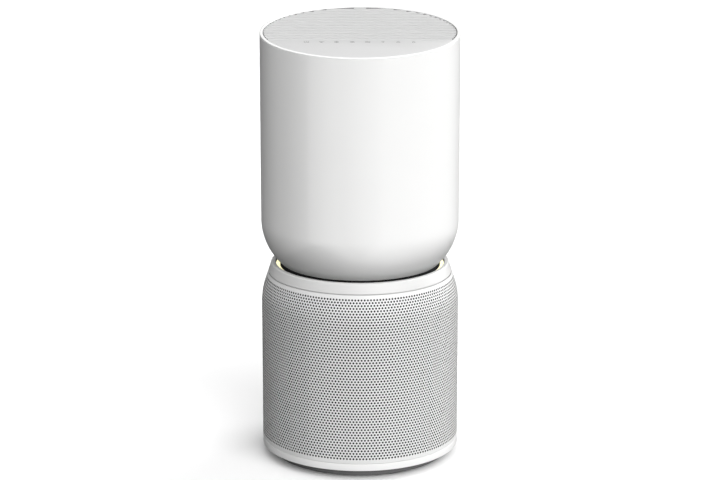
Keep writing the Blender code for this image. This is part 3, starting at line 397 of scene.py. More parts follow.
# Turns a closed outline of (radius, height) round the upright axis.
def turn(bm, outline, angles, skip=None):
    rows = []
    for radius, high in outline:
        if radius < 1e-7:
            rows.append([bm.verts.new((0, 0, high))] * len(angles))
        else:
            rows.append([bm.verts.new((radius * math.cos(angle), radius * math.sin(angle), high))
                         for angle in angles])
    for index, row in enumerate(rows):
        below = rows[(index + 1) % len(rows)]
        if row[0] is row[1] and below[0] is below[1]:
            continue
        for column in range(len(angles)):
            after = (column + 1) % len(angles)
            if skip and skip(index, column):
                continue
            corners = [row[column], row[after], below[after], below[column]]
            bm.faces.new(list(dict.fromkeys(corners)))
    return rows


def lift(bm, low=-1.0):
    for vert in bm.verts:
        if vert.co.z > low:
            vert.co.z += vert.co.y * topSlope


# An outline in millimetres made one in metres.
def inMetres(corners):
    return [tuple(value * mm for value in corner) for corner in corners]


# A turned piece from its outline: radius, height and, where a corner is rounded, its rounding, in millimetres.
def turned(name, corners, material, nodes, body="root", count=192, sloped=False):
    bm = bmesh.new()
    turn(bm, rounded(inMetres(corners)), steps(count))
    if sloped:
        lift(bm)
    return place(name, bm, material, nodes, body)


shellSizes = {
    "curve": 74.0, "curveHigh": 303.0, "wall": 2.5, "edgeHigh": 536.2, "lowerEdge": 248.8, "floorHigh": 251.8,
    "floorInner": 90.0, "windowHalf": 13.3, "windows": ((320.8, 338.8), (445.7, 464.3)), "steps": 256,
}


# Head shell: straight wall, round lower edge and floor, with two windows at the back.
def makeHeadShell():
    sizes = shellSizes
    centre = (bodyRadius / mm - sizes["curve"], sizes["curveHigh"])
    lowAngle = -math.degrees(math.asin((sizes["curveHigh"] - sizes["lowerEdge"]) / sizes["curve"]))
    innerCurve = sizes["curve"] - sizes["wall"]
    innerAngle = -math.degrees(math.asin((sizes["curveHigh"] - sizes["floorHigh"]) / innerCurve))
    rowHighs = sorted([value for window in sizes["windows"] for value in window] + [390.0, 500.0])
    radius = bodyRadius / mm
    outer = arcPoints(centre, sizes["curve"], lowAngle, 0, 28) + [(radius, high) for high in rowHighs]
    outer += [(radius, sizes["edgeHigh"] - 0.4), (radius - 0.4, sizes["edgeHigh"])]
    inner = [(radius - sizes["wall"], sizes["edgeHigh"])]
    inner += [(radius - sizes["wall"], high) for high in reversed(rowHighs)]
    inner += arcPoints(centre, innerCurve, 0, innerAngle, 16)
    floor = [(sizes["floorInner"], sizes[level]) for level in ("lowerEdge", "floorHigh")]
    outline = inMetres(floor[:1] + outer + inner + floor[1:])
    half = math.asin(sizes["windowHalf"] / radius)
    angles = sorted(steps(sizes["steps"]) + [math.pi / 2 - half, math.pi / 2 + half])
    first = angles.index(math.pi / 2 - half)
    last = angles.index(math.pi / 2 + half)
    spans = [(low * mm, high * mm) for low, high in sizes["windows"]]

    def inWindow(index, column):
        ends = sorted((outline[index][1], outline[(index + 1) % len(outline)][1]))
        return first <= column < last and any(
            low - 1e-6 < ends[0] and ends[1] < high + 1e-6 for low, high in spans)

    bm = bmesh.new()
    rows = turn(bm, outline, angles, inWindow)
    outside, inside = {}, {}
    for (reach, high), row in zip(outline, rows):
        (outside if reach > bodyRadius - 1 * mm else inside)[round(high / mm, 1)] = row
    for low, high in sizes["windows"]:
        for level in (low, high):
            for column in range(first, last):
                bm.faces.new((outside[level][column], outside[level][column + 1],
                              inside[level][column + 1], inside[level][column]))
        for column in (first, last):
            bm.faces.new((outside[low][column], outside[high][column],
                          inside[high][column], inside[low][column]))
    lift(bm, 520 * mm)
    return place("headShell", bm, "shellWhite", ["head_shell"])


makeHeadShell()

turned("rimRing", [(123, 538, 0.9), (123, 536.5), (120.2, 536.5, 0.2), (120.2, 532, 0.4), (119, 532, 0.4),
                   (119, 538, 0.5)], "rimWhite", ["rim_ring"], count=256, sloped=True)
print("shell and rim made")

lidSizes = {"radius": 118.4 * mm, "edge": -38.6 * mm, "high": 537.7, "panelThick": 2.7, "frameWidth": 3.0,
            "frameLow": 526.8, "frameDrop": 0.8, "around": 96, "across": 24}


# The round top cut by a straight edge, set in from its outline by an amount.
def lidLoop(radius, edge, inset, front):
    around, across = lidSizes["around"], lidSizes["across"]
    radius -= inset
    edge = edge - inset if front else edge + inset
    corner = math.asin(edge / radius)
    start, end = (-math.pi - corner, corner) if front else (corner, math.pi - corner)
    loop = [(radius * math.cos(start + (end - start) * step / around),
             radius * math.sin(start + (end - start) * step / around)) for step in range(around + 1)]
    for step in range(1, across):
        loop.append((loop[around][0] + (loop[0][0] - loop[around][0]) * step / across, edge))
    return loop


# Rings of a profile of (inset, height) swept along the lid outline; closed in the middle or left hollow.
def sweepLid(bm, profile, radius, edge, front, hollow):
    rings = [[bm.verts.new((x, y, high * mm)) for x, y in lidLoop(radius, edge, inset * mm, front)]
             for inset, high in profile]
    pairs = list(zip(rings, rings[1:])) + ([(rings[-1], rings[0])] if hollow else [])
    for near, far in pairs:
        for index in range(len(near)):
            after = (index + 1) % len(near)
            bm.faces.new((near[index], near[after], far[after], far[index]))
    if not hollow:
        bm.faces.new(rings[0])
        bm.faces.new(rings[-1])


def makePanel():
    high, low = lidSizes["high"], lidSizes["high"] - lidSizes["panelThick"]
    profile = [(0.3, low), (0, low + 0.3), (0, high - 0.5), (0.05, high - 0.25), (0.2, high - 0.08),
               (0.5, high)]
    bm = bmesh.new()
    sweepLid(bm, profile, lidSizes["radius"], lidSizes["edge"], True, False)
    lift(bm)
    return place("controlPanel", bm, "panelWhite", ["control_panel"])


makePanel()

iconSizes = {"pitch": 18.5 * mm, "row": -49.0 * mm, "size": 3.0 * mm, "line": 0.65 * mm, "proud": 0.05 * mm}


# Printed touch marks: each stroke is a run of points, in units of the mark's half width.
def circle(radius, start=0, end=360, count=28, centre=(0, 0)):
    return [(centre[0] + radius * math.cos(math.radians(start + (end - start) * step / count)),
             centre[1] + radius * math.sin(math.radians(start + (end - start) * step / count)))
            for step in range(count + 1)]


marks = (
    [circle(0.95, 125, 415), [(0, 0.25), (0, 1.05)]],                                        # power
    [circle(0.5, 0, 180, 14, (0.5, 0)), circle(0.5, 120, 300, 14, (-0.25, 0.43)),
     circle(0.5, 240, 420, 14, (-0.25, -0.43)), circle(0.16)],                               # fan
    [circle(0.95, 50, 310, 26), circle(0.75, 70, 290, 22, (0.42, 0))],                       # night
    [circle(0.42)] + [[(0.62 * math.cos(turnBy), 0.62 * math.sin(turnBy)),
                       (1.0 * math.cos(turnBy), 1.0 * math.sin(turnBy))] for turnBy in steps(8)],   # lamp
    [circle(0.95), [(0, 0.6), (0, 0), (0.45, -0.2)]],                                        # timer
    [circle(1.0, 45, 135, 12, (0, -0.6)), circle(0.65, 45, 135, 10, (0, -0.6)),
     circle(0.12, centre=(0, -0.45))],                                                       # wireless
    [[(-0.65, -0.9), (0.65, -0.9), (0.65, 0.1), (-0.65, 0.1), (-0.65, -0.9)],
     circle(0.42, 0, 180, 14, (0, 0.1))],                                                    # lock
    [circle(0.62, 200, 340, 16, (0, -0.25)), [(-0.58, -0.46), (0, 0.95), (0.58, -0.46)]],    # drop
)


def makeMarks():
    bm = bmesh.new()
    size, line = iconSizes["size"], iconSizes["line"] / 2
    base = lidSizes["high"] * mm + 0.004 * mm
    top = base + iconSizes["proud"]
    for number, strokes in enumerate(marks):
        middle = Vector(((number - 3.5) * iconSizes["pitch"], iconSizes["row"]))
        for stroke in strokes:
            points = [middle + Vector(point) * size for point in stroke]
            closed = (points[0] - points[-1]).length < 1e-6
            if closed:
                points = points[:-1]
            sides = []
            for index, point in enumerate(points):
                back = points[index - 1] if index or closed else point
                ahead = points[(index + 1) % len(points)] if index < len(points) - 1 or closed else point
                across = (ahead - back).normalized().orthogonal() * line
                corners = [(point + across, base), (point - across, base), (point - across, top),
                           (point + across, top)]
                sides.append([bm.verts.new((*corner, high)) for corner, high in corners])
            pairs = list(zip(sides, sides[1:])) + ([(sides[-1], sides[0])] if closed else [])
            for near, far in pairs:
                for index in range(4):
                    after = (index + 1) % 4
                    bm.faces.new((near[index], near[after], far[after], far[index]))
            if not closed:
                bm.faces.new(sides[0])
                bm.faces.new(sides[-1])
    lift(bm)
    return place("touchMarks", bm, "iconGrey", [])


makeMarks()


# A Geometry Nodes tree with named inputs; build gives the geometry, the tree's end is added here.
def growTree(name, inputs, build, material):
    tree = bpy.data.node_groups.new(name, "GeometryNodeTree")
    tree.interface.new_socket(name="Geometry", in_out="OUTPUT", socket_type="NodeSocketGeometry")
    named = {}
    for label, value in inputs.items():
        kind = "NodeSocketInt" if isinstance(value, int) else "NodeSocketFloat"
        kind = "NodeSocketObject" if isinstance(value, bpy.types.Object) else kind
        named[label] = (tree.interface.new_socket(name=label, in_out="INPUT", socket_type=kind), value)
    graph = Graph(tree)
    entry = tree.nodes.new("NodeGroupInput")
    sockets = {label: Wire(graph, portOf(entry.outputs, socket.identifier))
               for label, (socket, _) in named.items()}
    geometry = graph.add("GeometryNodeRealizeInstances", None, {"Geometry": build(graph, sockets)})
    geometry = graph.add("GeometryNodeSetMaterial", None,
                         {"Geometry": geometry, "Material": finishes[material]})
    graph.add("NodeGroupOutput", None, {"Geometry": geometry})
    holder = bpy.data.objects.new(name + "Holder", bpy.data.meshes.new(name + "Holder"))
    scene.collection.objects.link(holder)
    modifier = holder.modifiers.new(name, "NODES")
    modifier.node_group = tree
    for socket, value in named.values():
        modifier[socket.identifier] = value
    result = bpy.data.meshes.new_from_object(holder.evaluated_get(bpy.context.evaluated_depsgraph_get()))
    holder.modifiers.clear()
    bpy.data.objects.remove(holder, do_unlink=True)
    return result


def addMesh(bm, mesh):
    bm.from_mesh(mesh)
    bpy.data.meshes.remove(mesh)


slatSizes = {"Pitch": 7.6 * mm, "Width": 4.2 * mm, "Height": 8.0 * mm, "Reach": 118.2 * mm,
             "Edge": -38.25 * mm, "High": 537.68 * mm, "Corner": 0.35 * mm, "Count": 21}


# Slats: one bar for each step back from the panel's edge, as long as the round lid allows there.
def buildSlats(graph, value):
    first = value["Edge"] + value["Width"] / 2
    start = graph.add("ShaderNodeCombineXYZ", None, {"Y": first, "Z": value["High"] - value["Height"] / 2})
    offset = graph.add("ShaderNodeCombineXYZ", None, {"Y": value["Pitch"]})
    points = graph.add("GeometryNodeMeshLine", {"mode": "OFFSET"},
                       {"Count": value["Count"], "Start Location": start, "Offset": offset})
    along = graph.split(graph.add("GeometryNodeInputPosition"), "Y")
    row = graph.add("ShaderNodeMath", {"operation": "ABSOLUTE"}, {"Value": along}) + value["Width"] / 2
    half = graph.root(value["Reach"] * value["Reach"] - row * row)
    bar = graph.add("GeometryNodeCurvePrimitiveLine", None, {"Start": (-1, 0, 0), "End": (1, 0, 0)})
    bars = graph.add("GeometryNodeInstanceOnPoints", None, {
        "Points": points, "Instance": bar,
        "Scale": graph.add("ShaderNodeCombineXYZ", None, {"X": half, "Y": 1.0, "Z": 1.0})})
    bars = graph.add("GeometryNodeRealizeInstances", None, {"Geometry": bars})
    section = graph.add("GeometryNodeCurvePrimitiveQuadrilateral", None,
                        {"Width": value["Width"], "Height": value["Height"]})
    section = graph.add("GeometryNodeFilletCurve", {"mode": "POLY"}, {
        "Curve": section, "Count": 4, "Radius": value["Corner"], "Limit Radius": True})
    bars = graph.add("GeometryNodeSetCurveNormal", {"mode": "Z_UP"}, {"Curve": bars})
    return graph.add("GeometryNodeCurveToMesh", None,
                     {"Curve": bars, "Profile Curve": section, "Fill Caps": True})


ribSizes = {"Side": 53.3 * mm, "Width": 2.0 * mm, "Low": 526.9 * mm, "High": 530.7 * mm, "Front": -36.8 * mm,
            "Reach": 116.9 * mm}


def buildRibs(graph, value):
    points = graph.add("GeometryNodeMeshLine", {"mode": "OFFSET"}, {
        "Count": 3, "Start Location": graph.add("ShaderNodeCombineXYZ", None, {
            "X": 0 - value["Side"], "Y": value["Front"], "Z": (value["Low"] + value["High"]) / 2}),
        "Offset": graph.add("ShaderNodeCombineXYZ", None, {"X": value["Side"]})})
    side = graph.split(graph.add("GeometryNodeInputPosition"), "X")
    long = graph.root(value["Reach"] * value["Reach"] - side * side) - value["Front"] - 1 * mm
    bar = graph.add("GeometryNodeCurvePrimitiveLine", None, {"Start": (0, 0, 0), "End": (0, 1, 0)})
    bars = graph.add("GeometryNodeInstanceOnPoints", None, {
        "Points": points, "Instance": bar,
        "Scale": graph.add("ShaderNodeCombineXYZ", None, {"X": 1.0, "Y": long, "Z": 1.0})})
    bars = graph.add("GeometryNodeRealizeInstances", None, {"Geometry": bars})
    bars = graph.add("GeometryNodeSetCurveNormal", {"mode": "Z_UP"}, {"Curve": bars})
    section = graph.add("GeometryNodeCurvePrimitiveQuadrilateral", None,
                        {"Width": value["Width"], "Height": value["High"] - value["Low"]})
    section = graph.add("GeometryNodeFilletCurve", {"mode": "POLY"}, {
        "Curve": section, "Count": 3, "Radius": 0.4 * mm, "Limit Radius": True})
    return graph.add("GeometryNodeCurveToMesh", None,
                     {"Curve": bars, "Profile Curve": section, "Fill Caps": True})


def makeGrille():
    low, high, wide = lidSizes["frameLow"], lidSizes["high"] - lidSizes["frameDrop"], lidSizes["frameWidth"]
    bm = bmesh.new()
    profile = [(0.3, low), (0, low + 0.3), (0, high - 0.5), (0.15, high - 0.15), (0.5, high),
               (wide - 0.7, high), (wide - 0.2, high - 0.2), (wide, high - 0.7), (wide, low)]
    sweepLid(bm, profile, lidSizes["radius"], lidSizes["edge"] + 0.3 * mm, False, True)
    lift(bm)
    place("grilleFrame", bm, "frameGrey", ["outlet_grille"])
    bm = bmesh.new()
    addMesh(bm, growTree("slatRow", slatSizes, buildSlats, "grilleWhite"))
    addMesh(bm, growTree("ribRow", ribSizes, buildRibs, "grilleWhite"))
    lift(bm)
    return place("grilleSlats", bm, "grilleWhite", ["outlet_grille"])


grille = makeGrille()
print("top made, grille faces:", len(grille.data.polygons))

collar = turned("baseCollar", [
    (105.3, 248.0, 0.7), (105.3, 233.3), (110.9, 233.3), (111.7, 228.6, 0.3), (113.1, 228.6, 0.3),
    (112.3, 234.3, 0.5), (112.3, 235.6), (114.58, 235.6, 0.15), (110.98, 246.7, 1.2), (109.9, 248.0, 0.8)],
    "collarWhite", ["base_collar"], count=256)
collar.visible_diffuse = False            # its bright lip throws no light up under the head
turned("neckRing", [(99.7, 248.5, 0.3), (99.7, 233.3, 0.3), (84.0, 233.3, 0.3), (84.0, 242.7, 0.3),
                    (90.0, 242.7), (90.0, 248.5, 0.3)], "neckBlack", ["neck_ring"])
glow = turned("lightRing", [
    (105.0, 244.6, 1.2), (105.0, 236.9, 0.3), (100.0, 236.9, 0.3), (100.0, 244.6, 1.2)],
    "lightDiffuser", ["light_ring"])
glow.visible_glossy = False
glow.visible_diffuse = False              # it shines through its milky face without flooding the groove
turned("bottomRing", [(123, 20.8, 0.4), (123, 11.9, 0.6), (113.4, 11.9, 0.4), (113.4, 20.8, 0.4)],
       "shellWhite", ["bottom_ring"], count=256)

coverSizes = {"around": 192, "rows": 60, "firstRow": 27.55 * mm, "rowGap": 3.425 * mm, "hole": 1.30 * mm,
              "sheet": 0.8 * mm, "scrim": 0.3 * mm, "seam": 0.9 * mm,
              "bend": 80 * mm, "bendAngle": 18.0, "bendLow": 197 * mm, "bandSteps": 384, "scrimSteps": 96}


# Outline of the cover: height along the sheet gives the radius and the height of a point.
def coverPoint(along, depth):
    size = coverSizes
    angle = math.radians(size["bendAngle"])
    past = along - size["bendLow"]
    if past <= 0:
        return bodyRadius - depth, along
    if past < size["bend"] * angle:
        lean = past / size["bend"]
        radius = bodyRadius - size["bend"] + (size["bend"] - depth) * math.cos(lean)
        return radius, size["bendLow"] + (size["bend"] - depth) * math.sin(lean)
    rest = past - size["bend"] * angle
    radius = bodyRadius - size["bend"] + (size["bend"] - depth) * math.cos(angle) - rest * math.sin(angle)
    return radius, size["bendLow"] + (size["bend"] - depth) * math.sin(angle) + rest * math.cos(angle)


# Closed section of a wall that follows the cover, from one height along it to another.
def wall(start, end, depth, thick, count):
    alongs = [start + (end - start) * step / count for step in range(count + 1)]
    return ([coverPoint(along, depth) for along in alongs]
            + [coverPoint(along, depth + thick) for along in reversed(alongs)])


def alongAt(high):
    low, top = 0.0, 0.3
    for _ in range(40):
        middle = (low + top) / 2
        if coverPoint(middle, 0)[1] < high:
            low = middle
        else:
            top = middle
    return low


# Half the width and half the height of one hexagon of the pattern.
def cellHalves():
    gap = coverSizes["rowGap"]
    half = math.pi * bodyRadius / coverSizes["around"]
    return half, (half ** 2 + gap ** 2) / (2 * gap)


# One hexagon of sheet with a round hole through it; flat squares off its lower or upper side.
def cellObject(flat):
    size = coverSizes
    half, tall = cellHalves()
    short = size["rowGap"] - tall
    corners = [(0, tall), (half, short), (half, -short), (0, -tall), (-half, -short), (-half, short)]
    corners = [(x, math.copysign(tall, y)) if flat * y > 0 else (x, y) for x, y in corners]
    bm = bmesh.new()
    layers = []
    for depth in (0.0, size["sheet"]):
        outer = [bm.verts.new((x, depth, y)) for x, y in corners]
        hole = [bm.verts.new((size["hole"] * math.sin(angle), depth, size["hole"] * math.cos(angle)))
                for angle in steps(12)]
        layers.append((outer, hole))
        for index in range(6):
            after = (index + 1) % 6
            bm.faces.new((outer[index], outer[after], hole[(2 * index + 2) % 12], hole[2 * index + 1],
                          hole[2 * index]))
    for index in range(12):
        after = (index + 1) % 12
        bm.faces.new((layers[0][1][index], layers[0][1][after], layers[1][1][after], layers[1][1][index]))
    mesh = bpy.data.meshes.new("coverCell")
    bm.to_mesh(mesh)
    bm.free()
    cell = bpy.data.objects.new("coverCell", mesh)
    scene.collection.objects.link(cell)
    return cell


# Rows of cells, every other row moved half a step: the pattern of the perforated sheet laid flat.
def buildHoles(graph, value):
    offset = graph.add("ShaderNodeCombineXYZ", None, {"X": value["Pitch"]})
    row = graph.add("GeometryNodeMeshLine", {"mode": "OFFSET"}, {"Count": value["Columns"], "Offset": offset})
    start = graph.add("ShaderNodeCombineXYZ", None, {"Z": value["First"]})
    up = graph.add("ShaderNodeCombineXYZ", None, {"Z": value["Gap"]})
    column = graph.add("GeometryNodeMeshLine", {"mode": "OFFSET"},
                       {"Count": value["Rows"], "Start Location": start, "Offset": up})
    number = graph.add("GeometryNodeInputIndex") + value["Shift"]
    odd = graph.add("ShaderNodeMath", {"operation": "MODULO"}, {"Value": number, "Value_001": 2.0})
    shift = graph.add("ShaderNodeCombineXYZ", None, {"X": odd * value["Pitch"] * 0.5})
    column = graph.add("GeometryNodeSetPosition", None, {"Geometry": column, "Offset": shift})
    points = graph.add("GeometryNodeInstanceOnPoints", None, {"Points": column, "Instance": row})
    points = graph.add("GeometryNodeRealizeInstances", None, {"Geometry": points})
    cell = graph.add("GeometryNodeObjectInfo", None, {"Object": value["Cell"]}, "Geometry")
    return graph.add("GeometryNodeInstanceOnPoints", None, {"Points": points, "Instance": cell})


def flatHoles(bm, rows, first, shift, flat):
    cell = cellObject(flat)
    inputs = {"Pitch": math.tau * bodyRadius / coverSizes["around"], "Gap": coverSizes["rowGap"],
              "Columns": coverSizes["around"] // 4, "Rows": rows, "First": first, "Shift": shift,
              "Cell": cell}
    addMesh(bm, growTree("holeRows", inputs, buildHoles, "coverWhite"))
    bpy.data.objects.remove(cell, do_unlink=True)


# A quarter of the perforated sheet, closed along its edges and bent into shape.
def makeCoverQuarter():
    size = coverSizes
    bm = bmesh.new()
    flatHoles(bm, 1, size["firstRow"], 0, -1)
    flatHoles(bm, size["rows"] - 2, size["firstRow"] + size["rowGap"], 1, 0)
    flatHoles(bm, 1, size["firstRow"] + (size["rows"] - 1) * size["rowGap"], (size["rows"] - 1) % 2, 1)
    bmesh.ops.remove_doubles(bm, verts=bm.verts, dist=0.01 * mm)

    def spotOf(vert):
        return round(vert.co.x / mm, 2), round(vert.co.z / mm, 2)

    inside = {spotOf(vert): vert for vert in bm.verts if vert.co.y > 0}
    openEdges = [edge for edge in bm.edges if len(edge.link_faces) == 1 and edge.verts[0].co.y < 0.1 * mm]
    for edge in openEdges:
        first, second = edge.verts
        bm.faces.new((first, second, inside[spotOf(second)], inside[spotOf(first)]))
    bmesh.ops.recalc_face_normals(bm, faces=bm.faces)
    # Painted shade: every face but the outer skin, the hole walls too, takes the black of the second slot.
    for face in bm.faces:
        face.material_index = int(face.normal.y > -0.5)
    for vert in bm.verts:
        radius, high = coverPoint(vert.co.z, vert.co.y)
        angle = vert.co.x / bodyRadius
        vert.co = (radius * math.cos(angle), radius * math.sin(angle), high)
    return bm


def makeCover():
    size = coverSizes
    tall = cellHalves()[1]
    lowEdge = size["firstRow"] - tall
    highEdge = size["firstRow"] + (size["rows"] - 1) * size["rowGap"] + tall
    pattern = makeCoverQuarter()
    quarter = bpy.data.meshes.new("coverQuarter")
    pattern.to_mesh(quarter)
    pattern.free()
    for number in range(4):
        bm = bmesh.new()
        bm.from_mesh(quarter)
        bmesh.ops.rotate(bm, verts=bm.verts, cent=(0, 0, 0),
                         matrix=Matrix.Rotation(number * math.pi / 2, 3, "Z"))
        piece = place("coverScreen%d" % (number + 1), bm, "coverWhite", ["intake_cover"])
        piece.data.materials.append(finishes["scrimBlack"])
        print("cover screen", number + 1, "faces", len(piece.data.polygons))
    bpy.data.meshes.remove(quarter)
    bm = bmesh.new()
    lowOut = [(bodyRadius, coverLow + 0.3 * mm), (bodyRadius, lowEdge)]
    lowIn = [(bodyRadius - size["sheet"], lowEdge), (bodyRadius - size["sheet"], coverLow),
             (bodyRadius - 0.3 * mm, coverLow)]
    turn(bm, lowOut + lowIn, steps(size["bandSteps"]))
    top = alongAt(coverHigh - size["seam"])
    turn(bm, wall(highEdge, top, 0, size["sheet"], 3), steps(size["bandSteps"]))
    place("coverBands", bm, "coverWhite", ["intake_cover"])
    # Painted shade: a black sheet just inside the cover stands in for the shade behind the holes.
    bm = bmesh.new()
    scrim = wall(lowEdge - 1 * mm, highEdge + 1 * mm, size["sheet"] + 0.05 * mm, size["scrim"], 24)
    turn(bm, scrim, steps(size["scrimSteps"]))
    place("coverScrim", bm, "scrimBlack", ["intake_cover"])


makeCover()
print("cover made")

# Turning base cover: chamfered foot, a dished underside with grip ribs, lugs on its rim.
footSizes = {"radius": 109.4, "low": 1.5, "high": 11.6, "dishRadius": 83.4, "dishHigh": 5.5, "top": 14.0,
             "rimOuter": 104.3, "rimInner": 101.3, "rimHigh": 19.4, "lugHigh": 19.3, "lugLow": 16.8,
             "lugHalf": 10.0, "lugTip": 109.2, "arrowReach": 70}
arrowShape = ((9, 0), (1, 6), (1, 2), (-8, 2), (-8, -2), (1, -2), (1, -6))


def arcSlab(bm, inner, outer, start, end, low, high, count, soft):
    angles = [math.radians(start + (end - start) * step / count) for step in range(count + 1)]
    outline = [(outer * math.cos(angle), outer * math.sin(angle)) for angle in angles]
    outline += [(inner * math.cos(angle), inner * math.sin(angle)) for angle in reversed(angles)]
    return slabOf(bm, outline, low, high, soft)


# A flat outline made into a slab whose upper and lower edges are softened.
def slabOf(bm, outline, low, high, soft):
    made = bmesh.new()
    lower = [made.verts.new((x * mm, y * mm, low * mm)) for x, y in outline]
    upper = [made.verts.new((x * mm, y * mm, high * mm)) for x, y in outline]
    made.faces.new(lower[::-1])
    made.faces.new(upper)
    for index in range(len(outline)):
        after = (index + 1) % len(outline)
        made.faces.new((lower[index], lower[after], upper[after], upper[index]))
    made.normal_update()
    edges = [edge for edge in made.edges if edge.calc_face_angle(0) > 0.6]
    bmesh.ops.bevel(made, geom=edges, offset=soft * mm, segments=2, profile=0.5, affect="EDGES",
                    clamp_overlap=True)
    mesh = bpy.data.meshes.new("slabPart")
    made.to_mesh(mesh)
    made.free()
    addMesh(bm, mesh)


def makeFoot():
    size = footSizes
    bm = bmesh.new()
    outline = [(size["radius"], size["high"], 0.3), (size["radius"], size["low"], 1.4),
               (size["dishRadius"] + 2, size["low"], 0.8), (size["dishRadius"], size["dishHigh"], 0.8),
               (62.0, size["dishHigh"]), (61.2, size["dishHigh"] + 0.8), (57.8, size["dishHigh"] + 0.8),
               (57.0, size["dishHigh"]), (0, size["dishHigh"]), (0, size["top"]),
               (size["rimInner"], size["top"], 0.8), (size["rimInner"], size["rimHigh"], 0.5),
               (size["rimOuter"], size["rimHigh"], 0.5), (size["rimOuter"], size["high"], 0.5)]
    turn(bm, rounded(inMetres(outline)), steps(192))
    for angle in (0, 120, 240):
        arcSlab(bm, size["rimOuter"] - 1.5, size["lugTip"], angle - size["lugHalf"], angle + size["lugHalf"],
                size["lugLow"], size["lugHigh"], 8, 0.4)
    for number in range(3):                  # arrows that show which way the cover turns
        middle = math.radians(90 + number * 120)
        out = Vector((math.cos(middle), math.sin(middle)))
        along = Vector((-out.y, out.x))
        arrow = [tuple(out * (size["arrowReach"] + y) + along * x) for x, y in arrowShape]
        slabOf(bm, arrow, size["dishHigh"] - 0.6, size["dishHigh"] + 0.4, 0.15)
    return place("baseFoot", bm, "footGrey", ["base_cover"], "base_cover")


makeFoot()

gripSizes = {"Count": 60, "Radius": 81.2 * mm, "Length": 2.4 * mm, "Width": 1.4 * mm, "Low": 3.6 * mm,
             "High": 5.9 * mm}
diodeSizes = {"Count": 36, "Radius": 102.4 * mm, "Length": 2.8 * mm, "Width": 5.0 * mm, "Low": 234.95 * mm,
              "High": 236.2 * mm}


# Blocks set round a ring and turned to face outwards.
def buildBlocks(graph, value):
    ring = graph.add("GeometryNodeMeshCircle", None, {"Vertices": value["Count"], "Radius": value["Radius"]})
    ring = graph.add("GeometryNodeTransform", None, {
        "Geometry": ring,
        "Translation": graph.add("ShaderNodeCombineXYZ", None, {"Z": (value["Low"] + value["High"]) / 2})})
    size = graph.add("ShaderNodeCombineXYZ", None, {
        "X": value["Length"], "Y": value["Width"], "Z": value["High"] - value["Low"]})
    rib = graph.add("GeometryNodeMeshCube", None, {"Size": size})
    angle = graph.add("ShaderNodeMath", {"operation": "ARCTAN2"}, {
        "Value": graph.split(graph.add("GeometryNodeInputPosition"), "Y"),
        "Value_001": graph.split(graph.add("GeometryNodeInputPosition"), "X")})
    return graph.add("GeometryNodeInstanceOnPoints", None, {
        "Points": ring, "Instance": rib, "Rotation": graph.add("ShaderNodeCombineXYZ", None, {"Z": angle})})


def makeBlocks(name, sizes, soft, material, body):
    bm = bmesh.new()
    addMesh(bm, growTree(name, sizes, buildBlocks, material))
    bmesh.ops.bevel(bm, geom=list(bm.edges), offset=soft, segments=2, profile=0.5, affect="EDGES")
    return place(name, bm, material, [], body)


makeBlocks("gripRibs", gripSizes, 0.25 * mm, "footGrey", "base_cover")
makeBlocks("lightDiodes", diodeSizes, 0.15 * mm, "diodeCream", "root")

padSizes = {"reach": 97.4 * mm, "outline": [
    (8.0, 1.2), (8.0, 0, 0.5), (5.6, 0), (5.3, 0.35), (4.5, 0.35), (4.2, 0), (0, 0), (0, 1.2)]}
for number, angle in enumerate(steps(4, math.pi / 4), 1):
    bm = bmesh.new()
    turn(bm, rounded(inMetres(padSizes["outline"])), steps(48))
    bmesh.ops.translate(bm, verts=bm.verts, vec=(padSizes["reach"] * math.cos(angle),
                                                 padSizes["reach"] * math.sin(angle), 0))
    place("rubberPad%d" % number, bm, "padRubber", ["rubber_pad_%d" % number], "base_cover")
print("foot made")


# Height span of a CAD node, in millimetres.
def span(node):
    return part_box(node)[0].z / mm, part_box(node)[1].z / mm


capLow, capHigh = span("filter_bottom_cap")
turned("filterBottomCap", [
    (100, capHigh, 0.6), (100, capLow, 0.8), (88, capLow, 0.4), (88, capLow + 1.5, 0.4), (46, capLow + 1.5),
    (45.5, capLow + 2.0), (32.5, capLow + 2.0), (32, capLow + 1.5), (0, capLow + 1.5), (0, capHigh)],
    "innerGrey", ["filter_bottom_cap"], "filter")
capLow, capHigh = span("filter_top_cap")
turned("filterTopCap", [(100, capHigh, 0.8), (100, capLow, 0.6), (64, capLow, 0.6), (64, capHigh, 0.8),
                        (84, capHigh), (84.4, capHigh - 0.6), (92.6, capHigh - 0.6), (93, capHigh)],
       "innerGrey", ["filter_top_cap"], "filter")
foamLow, foamHigh = span("filter_gasket")
turned("filterGasket", [(81, foamHigh, 1.1), (81, foamLow, 0.3), (69, foamLow, 0.3), (69, foamHigh, 1.1)],
       "gasketFoam", ["filter_gasket"], "filter")
mediaLow, mediaHigh = span("filter_media")
turned("carbonCore", [(68, mediaHigh, 0.4), (68, mediaLow, 0.4), (64, mediaLow, 0.4), (64, mediaHigh, 0.4)],
       "carbonGrain", ["carbon_core"], "filter")
turned("filterSleeve", [(98.7, mediaHigh, 0.2), (98.7, mediaLow, 0.2), (97.9, mediaLow, 0.2),
                        (97.9, mediaHigh, 0.2)], "sleeveNet", ["prefilter_sleeve"], "filter")

pleatSizes = {"Folds": 96, "Outer": 97.0 * mm, "Inner": 69.2 * mm, "Low": mediaLow * mm,
              "High": mediaHigh * mm}


